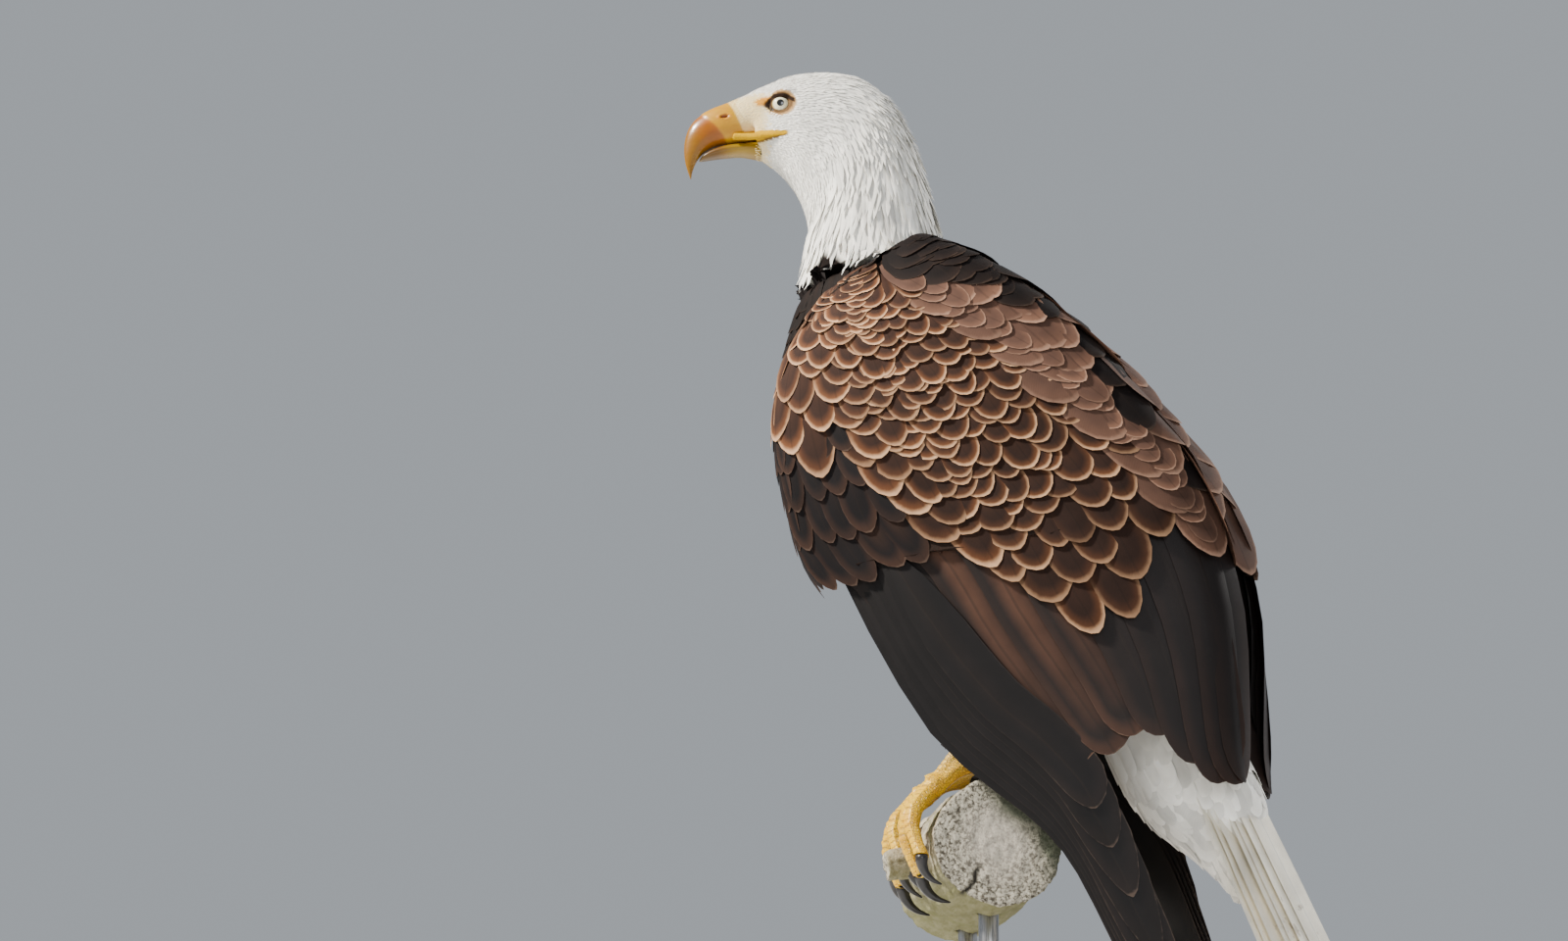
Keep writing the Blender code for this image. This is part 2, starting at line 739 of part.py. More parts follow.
# ---------------------------------------------------------------- perch and stand
def make_perch(finish, collection):
    """A rough length of log: its radius wavers along and round it, and its near end is sawn."""
    rings = []
    count, sides = 6, 18
    for k in range(count):
        t = k / (count - 1)
        place = PERCH_NEAR + (PERCH_FAR - PERCH_NEAR) * t
        ring = []
        for s in range(sides):
            angle = 2 * math.pi * s / sides
            waver = -0.0010 * (1 + math.sin(3 * angle + 9 * t)) - 0.0006 * (1 + math.cos(7 * angle))
            ring.append(on_perch(place, angle, waver))
        rings.append(ring)
    return loft("perch", rings, finish["log"], collection)


def make_rod(number, place, finish, collection):
    top = PERCH_HEIGHT - PERCH_RADIUS + ROD_IN_PERCH
    bottom = BASE_THICKNESS - ROD_IN_BASE
    where = BIRD_ORIGIN + PERCH_CENTRE + PERCH_AXIS * place
    bm = bmesh.new()
    bmesh.ops.create_cone(
        bm, cap_ends=True, segments=12, radius1=ROD_RADIUS, radius2=ROD_RADIUS,
        depth=top - bottom,
        matrix=Matrix.Translation((where.x, where.y, (top + bottom) / 2)),
    )
    return add_mesh(f"stand_rod_{number}", bm, finish["stand_metal"], collection)


def make_base(finish, collection):
    bpy.ops.mesh.primitive_cylinder_add(
        vertices=24, radius=BASE_RADIUS, depth=BASE_THICKNESS,
        location=(0, 0, BASE_THICKNESS / 2),
    )
    base = bpy.context.object
    base.name = "stand_base"
    for holder in list(base.users_collection):
        holder.objects.unlink(base)
    collection.objects.link(base)
    base.data.materials.append(finish["stand_wood"])
    edge = base.modifiers.new("edge", "BEVEL")
    edge.width = BASE_EDGE
    edge.segments = 1
    edge.angle_limit = math.radians(60)
    bpy.context.view_layer.update()
    baked(base)
    base.data.transform(base.matrix_world)
    base.matrix_world = Matrix.Identity(4)
    return base


# What each piece is cut back by, so that the feathers on top keep their whole shape.
CUT_BY = {
    "bill_lower": ["bill_upper"],
    "head": ["bill_upper", "bill_lower", "eye_left", "eye_right"],
    "trunk": ["neck"],
    "wing_left_scapulars": ["trunk", "neck"],
    "wing_left_coverts": ["trunk", "neck", "wing_left_scapulars"],
    "wing_left_secondaries": ["trunk", "wing_left_scapulars", "wing_left_coverts"],
    "wing_left_primaries": ["trunk", "wing_left_coverts", "wing_left_secondaries"],
    "tail_coverts": ["trunk", "wing_{}_scapulars", "wing_{}_secondaries", "wing_{}_primaries"],
    "tail": ["trunk", "tail_coverts", "wing_{}_scapulars", "wing_{}_secondaries",
             "wing_{}_primaries"],
    "leg_left_thigh": ["trunk", "tail_coverts", "wing_left_coverts", "wing_left_secondaries",
                       "wing_left_primaries", "leg_left_foot"],
    "leg_right_thigh": ["trunk", "tail_coverts", "wing_right_coverts", "wing_right_secondaries",
                        "wing_right_primaries", "leg_right_foot"],
    "leg_left_foot": ["claw_left_inner", "claw_left_middle", "claw_left_outer", "claw_left_hind"],
    "leg_right_foot": ["claw_right_inner", "claw_right_middle", "claw_right_outer",
                       "claw_right_hind"],
    "perch": ["stand_rod_1", "stand_rod_2"],
    "stand_base": ["stand_rod_1", "stand_rod_2"],
}
WING_LAYERS = ("scapulars", "coverts", "secondaries", "primaries")


def main():
    clear_scene()
    eagle = new_collection("eagle")
    cutters = new_collection("cutters", shown=False)
    finish = finishes()

    pieces = [
        make_trunk(finish["dark_plumage"], eagle),
        make_neck(finish["white_plumage"], eagle),
        make_head(finish["white_plumage"], eagle),
        *make_bill(finish["bill"], eagle),
        make_scapulars(finish, eagle),
        make_coverts(finish, eagle),
        make_secondaries(finish, eagle),
        make_primaries(finish, eagle),
        make_tail_coverts(finish, eagle),
        make_tail(finish, eagle),
        make_perch(finish, eagle),
        make_base(finish, eagle),
    ]
    for side, mirror in (("left", 1), ("right", -1)):
        foot, claws = make_foot(side, mirror, finish, eagle)
        pieces += [
            make_eye(side, mirror, finish["eye"], eagle),
            make_thigh(side, mirror, finish, eagle),
            foot, *claws,
        ]
    for number, place in enumerate(ROD_PLACES, 1):
        pieces.append(make_rod(number, place, finish, eagle))

    helpers = {piece.name: cutter_for(piece, cutters) for piece in pieces}
    for layer in WING_LAYERS:
        left = helpers[f"wing_left_{layer}"]
        right = mirrored_helper(left, f"wing_right_{layer}.cutter")
        helpers[f"wing_right_{layer}"] = right
    for piece in pieces:
        names = []
        for name in CUT_BY.get(piece.name, []):
            names += [name.format("left"), name.format("right")] if "{}" in name else [name]
        fit_round(piece, [helpers[name] for name in names])
    for piece in pieces:
        if piece.name.startswith("wing_left"):
            mirrored(piece, piece.name.replace("left", "right"))


main()
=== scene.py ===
"""Looks of the bald eagle: one skin, feathers as thin vanes, bill, eyes, feet, log and stand.

Everything is in metres in the part's frame: the bird faces -Y and its left side is at +X.
The tables of body, wings and tail are the part's own, given from BIRD_ORIGIN.
"""

import math

import bmesh
import bpy
import numpy as np
from mathutils import Matrix, Vector, noise
from mathutils.bvhtree import BVHTree
from mathutils.kdtree import KDTree


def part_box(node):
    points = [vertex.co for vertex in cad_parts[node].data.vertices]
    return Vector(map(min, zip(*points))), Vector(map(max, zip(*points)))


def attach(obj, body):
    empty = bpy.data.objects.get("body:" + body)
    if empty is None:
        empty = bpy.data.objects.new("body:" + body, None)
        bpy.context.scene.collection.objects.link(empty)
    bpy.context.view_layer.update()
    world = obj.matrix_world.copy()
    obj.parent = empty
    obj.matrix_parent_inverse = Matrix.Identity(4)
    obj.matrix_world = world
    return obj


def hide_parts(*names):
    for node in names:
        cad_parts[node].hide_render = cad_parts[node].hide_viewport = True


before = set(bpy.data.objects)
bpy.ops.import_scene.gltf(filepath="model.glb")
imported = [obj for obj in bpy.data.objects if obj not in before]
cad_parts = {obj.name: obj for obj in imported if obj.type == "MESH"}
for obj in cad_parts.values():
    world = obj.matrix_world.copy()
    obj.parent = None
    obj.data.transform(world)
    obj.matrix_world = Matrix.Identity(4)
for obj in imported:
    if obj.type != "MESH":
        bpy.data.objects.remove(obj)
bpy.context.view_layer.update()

BIRD_ORIGIN = np.array((0, -0.030, 0.257))
HEAD_CENTRE = np.array((0, -0.1175, 0.576)) + BIRD_ORIGIN
HEAD_SCALE = 1.016
HEAD_TURN = math.radians(22)
AHEAD = np.array((math.sin(HEAD_TURN), -math.cos(HEAD_TURN), 0))
ASIDE = np.array((math.cos(HEAD_TURN), math.sin(HEAD_TURN), 0))
UP = np.array((0, 0, 1.0))
EYE_FORWARD, EYE_UP, EYE_OUT, EYE_RADIUS = 0.041, 0.0058, 0.0190, 0.0095
PERCH_RADIUS, PERCH_TAPER = 0.048, 0.020
PERCH_TURN = math.radians(25)
PERCH_CENTRE = np.array((0, -0.039, 0.290))
PERCH_AXIS = np.array((math.cos(PERCH_TURN), math.sin(PERCH_TURN), 0))
PERCH_FRONT = np.array((math.sin(PERCH_TURN), -math.cos(PERCH_TURN), 0))
# From where along the log to where its sawn face begins
SAWN_FROM, SAWN_TO = 0.0765, 0.0790
SIDES = (("left", 1), ("right", -1))
# Width of a feather's patch in the map for baking
BAKE_PATCH = 0.003
# Where the round end begins in a feather's own map
ROUND_START = 0.75
# Sizes of the grids that the skins are remeshed on
BODY_VOXEL, NECK_VOXEL = 0.0034, 0.0022
HEAD_VOXEL, FOOT_VOXEL, LOG_VOXEL = ((0.0012, 0.0011, 0.0019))
# How far the body's skin lies under the flesh, and how many places are tried for small feathers
COAT_DEPTH = 0.0050
FACE_TRIES, NECK_TRIES = ((60000, 40000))
rng = np.random.default_rng(7)


# ---------------------------------------------------------------- small helpers
def unit(rows):
    size = np.linalg.norm(rows, axis=-1, keepdims=True)
    return rows / np.maximum(size, 1e-12)


def smoothstep(low, high, x):
    t = np.clip((x - low) / (high - low), 0, 1)
    return t * t * (3 - 2 * t)


def along_keys(keys, places):
    """Rows on a smooth curve through the rows of keys, at places counted in rows."""
    keys = np.asarray(keys, float)
    last = len(keys) - 1
    k = np.clip(np.floor(places).astype(int), 0, last - 1)
    t = (places - k)[..., None]
    a, b = keys[np.maximum(k - 1, 0)], keys[k]
    c, d = keys[k + 1], keys[np.minimum(k + 2, last)]
    return 0.5 * (2 * b + (c - a) * t + (2 * a - 5 * b + 4 * c - d) * t ** 2
                  + (3 * b - a - 3 * c + d) * t ** 3)


def head_point(forward, up, left=0.0):
    forward, up, left = (np.asarray(v, float)[..., None] for v in (forward, up, left))
    return HEAD_CENTRE + (AHEAD * forward + ASIDE * left + UP * up) * HEAD_SCALE


def head_place(points):
    """How far forward, up and left of the head's centre points lie."""
    rows = (points - HEAD_CENTRE) / HEAD_SCALE
    return rows @ AHEAD, rows[..., 2], rows @ ASIDE


def read_rows(items, key, width, kind=float):
    rows = np.empty(len(items) * width, dtype=kind)
    items.foreach_get(key, rows)
    return rows.reshape(-1, width)


def vertices_of(mesh):
    return read_rows(mesh.vertices, "co", 3)


def vertex_normals(mesh):
    return read_rows(mesh.vertices, "normal", 3)


def edge_rows(mesh):
    return read_rows(mesh.edges, "vertices", 2, np.int32)


def put_vertices(mesh, rows):
    mesh.vertices.foreach_set("co", np.ascontiguousarray(rows, dtype=np.float32).ravel())
    mesh.update()


def put_colours(mesh, name, colour):
    layer = mesh.color_attributes.new(name=name, type="FLOAT_COLOR", domain="POINT")
    layer.data.foreach_set("color", colour.ravel())


class Paint:
    """Colours of a mesh's vertices, laid one over another."""

    def __init__(self, count, ground):
        self.colour = np.ones((count, 4), dtype=np.float32)
        self.colour[:, :3] = ground

    def lay(self, share, tint):
        under = self.colour[:, :3]
        under += (np.array(tint) - under) * np.clip(share, 0, 1)[:, None]


def smoothed(mesh, rounds, weight=0.5, share=None):
    """Evens out a mesh in place, keeping its count of vertices."""
    rows, edges = vertices_of(mesh), edge_rows(mesh)
    count = np.bincount(edges.ravel(), minlength=len(rows)).clip(1)
    weight = weight if share is None else weight * share[:, None]
    for _ in range(rounds):
        total = np.zeros_like(rows)
        for axis in range(3):
            total[:, axis] = np.bincount(edges[:, 0], rows[edges[:, 1], axis], len(rows))
            total[:, axis] += np.bincount(edges[:, 1], rows[edges[:, 0], axis], len(rows))
        rows += (total / count[:, None] - rows) * weight
    put_vertices(mesh, rows)


def make_active(obj):
    bpy.ops.object.select_all(action="DESELECT")
    bpy.context.view_layer.objects.active = obj
    obj.select_set(True)


def finish_modifiers(obj):
    make_active(obj)
    for modifier in list(obj.modifiers):
        bpy.ops.object.modifier_apply(modifier=modifier.name)


def link_mesh(name, mesh):
    obj = bpy.data.objects.new(name, mesh)
    bpy.context.scene.collection.objects.link(obj)
    return obj


def merged_nodes(name, nodes, swell=0.0004):
    """One mesh from copies of CAD nodes, each grown a little so that they overlap."""
    whole = bmesh.new()
    for node in nodes:
        part = bmesh.new()
        part.from_mesh(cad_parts[node].data)
        bmesh.ops.remove_doubles(part, verts=part.verts, dist=1e-6)
        part.normal_update()
        for vert in part.verts:
            vert.co += vert.normal * swell
        copy = bpy.data.meshes.new("copy")
        part.to_mesh(copy)
        part.free()
        whole.from_mesh(copy)
        bpy.data.meshes.remove(copy)
    mesh = bpy.data.meshes.new(name)
    whole.to_mesh(mesh)
    whole.free()
    return link_mesh(name, mesh)


def remeshed(obj, size):
    modifier = obj.modifiers.new("fuse", "REMESH")
    modifier.mode = "VOXEL"
    modifier.voxel_size = size
    finish_modifiers(obj)
    return obj


def ground_of(*objs):
    """A tree of the surfaces of some pieces, for finding the skin's nearest point."""
    bm = bmesh.new()
    for obj in objs:
        bm.from_mesh(obj.data)
    tree = BVHTree.FromBMesh(bm)
    bm.free()
    return tree


def nearest(ground, points):
    """The nearest points of the skin, its normals there and how far off they are."""
    spots, normals, far = np.empty_like(points), np.empty_like(points), np.empty(len(points))
    for k, point in enumerate(points):
        spot, normal, _, distance = ground.find_nearest(point)
        spots[k], normals[k], far[k] = spot, normal, distance
    return spots, normals, far


def tube(points, radii, sides=12):
    """Rings of points round a line, for a tube of changing thickness."""
    points, radii = np.asarray(points, float), np.asarray(radii, float)
    along = unit(np.gradient(points, axis=0))
    side = unit(np.cross(along, unit(np.array((0.13, 0.21, 0.97)))))
    over = np.cross(side, along)
    turn = np.arange(sides) * 2 * math.pi / sides
    return (points[:, None] + radii[:, None, None]
            * (side[:, None] * np.cos(turn)[:, None] + over[:, None] * np.sin(turn)[:, None]))


def add_loft(obj, rings):
    """Adds a closed loft through rings of points to a piece's mesh, facing outwards."""
    count, sides = rings.shape[:2]
    faces = [(i * sides + k, i * sides + (k + 1) % sides, (i + 1) * sides + (k + 1) % sides,
              (i + 1) * sides + k) for i in range(count - 1) for k in range(sides)]
    faces += [tuple(reversed(range(sides))), tuple((count - 1) * sides + k for k in range(sides))]
    form = bpy.data.meshes.new("form")
    form.from_pydata(rings.reshape(-1, 3).tolist(), [], faces)
    bm = bmesh.new()
    bm.from_mesh(form)
    bmesh.ops.recalc_face_normals(bm, faces=bm.faces)
    bm.to_mesh(form)
    bm.free()
    bm = bmesh.new()
    bm.from_mesh(obj.data)
    bm.from_mesh(form)
    bm.to_mesh(obj.data)
    bm.free()
    bpy.data.meshes.remove(form)


def piece(obj, slot, *nodes, smooth=True):
    """Shades a finished piece smooth, hangs it under the root and hides the CAD nodes that it
    replaces.
    """
    if smooth:
        obj.data.shade_smooth()
    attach(obj, "root")
    if nodes:
        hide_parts(*nodes)
    return obj


# ---------------------------------------------------------------- materials
class Tree:
    """Short calls for adding nodes to a material or to a node group."""

    def __init__(self, tree):
        self.tree = tree

    def add(self, kind, settings=None, **inputs):
        node = self.tree.nodes.new(kind)
        for key, value in (settings or {}).items():
            setattr(node, key, value)
        for key, value in inputs.items():
            self.feed(node, key.replace("_", " "), value)
        return node

    def feed(self, node, key, value):
        socket = node.inputs[key]
        if isinstance(value, bpy.types.NodeSocket):
            self.link(value, socket)
        else:
            socket.default_value = value

    def link(self, source, socket):
        self.tree.links.new(source, socket)

    def coordinates(self):
        return self.add("ShaderNodeTexCoord").outputs["Object"]

    def mapped(self, kind="POINT", **values):
        """The object's coordinates, or given ones, moved, turned or scaled."""
        if "Vector" not in values:
            values["Vector"] = self.coordinates()
        return self.add("ShaderNodeMapping", {"vector_type": kind}, **values).outputs[0]

    def attribute(self, layer):
        return self.add("ShaderNodeVertexColor", {"layer_name": layer}).outputs[0]

    def split(self, value, kind="XYZ"):
        node = self.add("ShaderNodeSeparate" + kind)
        self.feed(node, 0, value)
        return node.outputs

    def noise(self, scale, detail, vector=None, rough=0.55):
        return self.add("ShaderNodeTexNoise", Scale=scale, Detail=detail, Roughness=rough,
                        Vector=vector or self.coordinates()).outputs["Fac"]

    def maths(self, operation, *values, clamp=False):
        node = self.add("ShaderNodeMath", {"operation": operation, "use_clamp": clamp})
        for k, value in enumerate(values):
            self.feed(node, k, value)
        return node.outputs[0]

    def vector(self, operation, *values, **named):
        node = self.add("ShaderNodeVectorMath", {"operation": operation}, **named)
        for k, value in enumerate(values):
            self.feed(node, k, value)
        return node.outputs["Value" if operation in ("DOT_PRODUCT", "LENGTH") else "Vector"]

    def length(self, x, y):
        square = [self.maths("POWER", value, 2.0) for value in (x, y)]
        return self.maths("SQRT", self.maths("ADD", *square))

    def band(self, value, low, high, to_low=0.0, to_high=1.0):
        """A smooth change from one value to another between two limits."""
        node = self.add("ShaderNodeMapRange", {"interpolation_type": "SMOOTHSTEP"}, Value=value,
                        From_Min=low, From_Max=high, To_Min=to_low, To_Max=to_high)
        return node.outputs[0]

    def mix(self, share, first, second, blend="MIX"):
        node = self.add("ShaderNodeMix", {"data_type": "RGBA", "blend_type": blend})
        for key, value in ((0, share), (6, first), (7, second)):
            self.feed(node, key, (*value, 1) if isinstance(value, tuple) else value)
        return node.outputs[2]


def new_group(name, colours, numbers):
    """A node group with these inputs, which puts out a colour and a height."""
    group = bpy.data.node_groups.new(name, "ShaderNodeTree")
    for keys, way, kind in ((colours, "INPUT", "Color"), (numbers, "INPUT", "Float"),
                            (["Color"], "OUTPUT", "Color"), (["Height"], "OUTPUT", "Float")):
        for key in keys:
            group.interface.new_socket(key, in_out=way, socket_type="NodeSocket" + kind)
    tree = Tree(group)
    return tree, tree.add("NodeGroupInput").outputs, tree.add("NodeGroupOutput").inputs


def new_material(name, roughness, specular, metallic=0.0, coat=0.0, sheen=0.0, subsurface=0.0):
    made = bpy.data.materials.new(name)
    made.use_nodes = True
    shader = made.node_tree.nodes["Principled BSDF"]
    for key, value in (("Roughness", roughness), ("Specular IOR Level", specular),
                       ("Metallic", metallic), ("Coat Weight", coat), ("Coat Roughness", 0.12),
                       ("Sheen Weight", sheen), ("Sheen Roughness", 0.5),
                       ("Subsurface Weight", subsurface), ("Subsurface Scale", 0.004)):
        shader.inputs[key].default_value = value
    return made, Tree(made.node_tree), shader


def finish_material(tree, shader, colour, height=None, distance=0.0005, strength=0.5,
                    roughness=None):
    tree.link(colour, shader.inputs["Base Color"])
    if roughness is not None:
        tree.link(roughness, shader.inputs["Roughness"])
    if height is not None:
        bump = tree.add("ShaderNodeBump", Strength=strength, Distance=distance, Height=height)
        tree.link(bump.outputs[0], shader.inputs["Normal"])


def vane_pattern():
    """A group that draws one feather from its own map: shaft, barbs, warm zone and pale fringe.

    In the map a feather's round end is a half circle about the place three quarters along it. The
    feather's own marks are its tone, how strong its fringe is and how light its middle is; in
    places tone and the middle's lightness carry painted sunlight and painted shade.
    """
    tree, given, out = new_group("vane_pattern", ["Base", "Warm", "Fringe"],
                                 ["Fringe Width", "Barbs", "Shaft"])
    maths, band = tree.maths, tree.band
    across, along, _ = tree.split(tree.add("ShaderNodeUVMap", {"uv_map": "vane"}).outputs[0])
    aside = maths("ABSOLUTE", maths("MULTIPLY_ADD", across, 2.0, -1.0))
    tone, fringe, light = tree.split(tree.attribute("marks"), "Color")
    end = 1 - ROUND_START
    past = maths("MAXIMUM", maths("MULTIPLY_ADD", along, 1 / end, -ROUND_START / end), 0.0)
    reach = maths("SUBTRACT", tree.length(aside, past), 0.05)
    reach = maths("MULTIPLY_ADD", tree.noise(220.0, 3.0), 0.10, reach)
    near_tip = band(along, 0.40, 0.90, 0.15, 1.0)
    width = given["Fringe Width"]
    edge = band(reach, maths("SUBTRACT", 1.0, width), maths("MULTIPLY_ADD", width, -0.15, 1.0))
    edge = maths("MULTIPLY", edge, band(along, 0.62, 0.97, 0.10, 1.0))
    edge = maths("MULTIPLY", edge, fringe, clamp=True)
    warm = maths("MULTIPLY", band(reach, 0.42, 0.92, 0.0, 0.95), near_tip)
    middle = maths("MULTIPLY", band(reach, 0.0, 0.75, 0.8, 0.0), light)
    middle = maths("MULTIPLY", middle, maths("MULTIPLY_ADD", near_tip, -0.9, 1.0))
    warm = maths("MAXIMUM", maths("MULTIPLY", warm, fringe), middle)
    slant = maths("ADD", maths("MULTIPLY", along, 1.6), maths("MULTIPLY", aside, -0.45))
    barbs = maths("SINE", maths("MULTIPLY", slant, maths("MULTIPLY", given["Barbs"], 2 * math.pi)))
    shaft = maths("MULTIPLY", band(aside, 0.015, 0.075, 1.0, 0.0), given["Shaft"])
    colour = tree.mix(warm, given["Base"], given["Warm"])
    colour = tree.mix(maths("MULTIPLY", shaft, 0.5), colour, (0.012, 0.008, 0.006))
    cloud = band(tree.noise(38.0, 3.0), 0.3, 0.7, -0.12, 0.12)
    shade = maths("MULTIPLY_ADD", barbs, 0.05, maths("MULTIPLY_ADD", tone, 0.8, 0.60))
    colour = tree.vector("SCALE", colour, Scale=maths("ADD", shade, cloud))
    rim = tree.vector("SCALE", given["Fringe"], Scale=maths("MULTIPLY_ADD", tone, 0.3, 0.78))
    tree.link(tree.mix(edge, colour, rim), out["Color"])
    height = maths("ADD", maths("MULTIPLY", barbs, 0.25), maths("MULTIPLY", shaft, 1.4))
    tree.link(height, out["Height"])
    return tree.tree


VANE_PATTERN = vane_pattern()


def feather_material(name, base, warm, fringe, fringe_width, barbs, shaft=0.5, roughness=0.72,
                     sheen=0.0, depth=0.00012, strength=0.35, specular=0.09, flecks=0.0):
    made, tree, shader = new_material(name, roughness, specular, sheen=sheen)
    pattern = tree.add("ShaderNodeGroup", {"node_tree": VANE_PATTERN}, Base=(*base, 1),
                       Warm=(*warm, 1), Fringe=(*fringe, 1), Fringe_Width=fringe_width,
                       Barbs=barbs, Shaft=shaft)
    colour = pattern.outputs["Color"]
    if flecks:
        spots = tree.maths("MULTIPLY", tree.band(tree.noise(75.0, 5.0, rough=0.7), 0.56, 0.66),
                           tree.band(tree.noise(16.0, 2.0), 0.42, 0.60, 0.0, flecks))
        colour = tree.mix(spots, colour, (0.17, 0.115, 0.070))
    finish_material(tree, shader, colour, pattern.outputs["Height"], depth, strength)
    return made


FINISH = {
    "covert": feather_material("covert_plumage", (0.026, 0.0125, 0.0088), (0.150, 0.056, 0.022),
                               (0.62, 0.37, 0.21), 0.24, 34),
    # The shoulder feathers are paler than the coverts, partly as painted sunlight.
    "scapular": feather_material("scapular_plumage", (0.068, 0.036, 0.026), (0.165, 0.082, 0.052),
                                 (0.42, 0.25, 0.17), 0.16, 40),
    "hand": feather_material("hand_plumage", (0.0060, 0.0050, 0.0055), (0.050, 0.024, 0.015),
                             (0.11, 0.072, 0.052), 0.10, 50),
    "mantle": feather_material("mantle_plumage", (0.0060, 0.0042, 0.0040), (0.016, 0.010, 0.008),
                               (0.055, 0.035, 0.025), 0.12, 30),
    "breast": feather_material("breast_plumage", (0.0080, 0.0055, 0.0046), (0.022, 0.012, 0.008),
                               (0.090, 0.055, 0.036), 0.13, 30),
    "flight": feather_material("flight_plumage_look", (0.0078, 0.0056, 0.0052),
                               (0.070, 0.031, 0.018), (0.13, 0.08, 0.055), 0.05, 120, 0.8, 0.48,
                               specular=0.18),
    "primary": feather_material("primary_plumage", (0.0045, 0.0038, 0.0040),
                                (0.011, 0.0075, 0.0065), (0.095, 0.066, 0.050), 0.07, 130, 0.8,
                                0.46, specular=0.18),
    "lore": feather_material("lore_plumage", (0.78, 0.62, 0.30), (0.80, 0.66, 0.36),
                             (0.80, 0.70, 0.44), 0.10, 14, 0.0, 0.75, 0.1, 0.0001, 0.4),
    "white": feather_material("white_plumage_look", (0.77, 0.75, 0.69), (0.84, 0.83, 0.79),
                              (0.90, 0.89, 0.85), 0.10, 14, 0.0, 0.75, 0.15, 0.0001, 0.4),
    "tail": feather_material("tail_plumage", (0.74, 0.69, 0.57), (0.84, 0.81, 0.72),
                             (0.55, 0.44, 0.30), 0.06, 150, 0.45, 0.6, 0.1, flecks=0.85),
}


# ---------------------------------------------------------------- vanes
class Shape:
    """The outline of a kind of feather: steps along it, its width at each, and how far along each
    is in the feather's own map. tip is the share of the round or pointed end, root the width at
    the root, and swell how far along the full width is reached."""

    def __init__(self, rows, tip, round_rows, power=2.0, blunt=0.5, root=0.42, swell=0.45):
        start = 1 - tip
        body = np.linspace(0, start, rows - round_rows + 1)[:-1]
        turn = np.linspace(0, 1, round_rows)
        end = np.sin(turn * math.pi / 2) if power > 1 else turn
        self.rows = rows
        self.steps = np.concatenate([body, start + tip * end])
        past = np.clip((self.steps - start) / tip, 0, 1)
        rise = root + (1 - root) * np.sin(np.pi / 2 * np.minimum(self.steps / swell, 1))
        self.widths = np.maximum(rise * (1 - past ** power) ** blunt, 0.03)
        self.reach = np.where(self.steps < start, ROUND_START * self.steps / start,
                              ROUND_START + (1 - ROUND_START) * past)


ROUND = Shape(10, 0.27, 5, 1.9, 0.60)
BLUNT = Shape(10, 0.30, 5, 1.9, 0.58)
SOFT = Shape(8, 0.24, 4)
LANCE = Shape(7, 0.66, 5, 1.0, 0.75, 0.5, 0.3)
SHORT_LANCE = Shape(5, 0.60, 3, 1.0, 0.7, 0.6, 0.3)
LONG = Shape(17, 0.11, 6, 2.0, 0.5, 0.7, 0.3)
BLADE = Shape(17, 0.22, 6, 2.0, 0.6, 0.35, 0.25)


def vane_faces(rows, columns):
    """Faces of one closed vane: its top grid, and an underside that meets it round the rim."""
    middle = columns // 2
    last = rows - 1

    def top(i, k):
        return i * columns + k

    def under(i):
        return top(i, middle) if i in (0, last) else rows * columns + i - 1

    faces = []
    for i in range(last):
        for k in range(columns - 1):
            faces.append((top(i, k), top(i, k + 1), top(i + 1, k + 1), top(i + 1, k)))
        faces.append((top(i, 0), top(i + 1, 0), under(i + 1), under(i)))
        faces.append((under(i), under(i + 1), top(i + 1, columns - 1), top(i, columns - 1)))
    if columns == 5:
        faces += [(top(0, 0), top(0, 2), top(0, 1)), (top(0, 2), top(0, 4), top(0, 3)),
                  (top(last, 2), top(last, 0), top(last, 1)),
                  (top(last, 4), top(last, 2), top(last, 3))]
    return faces


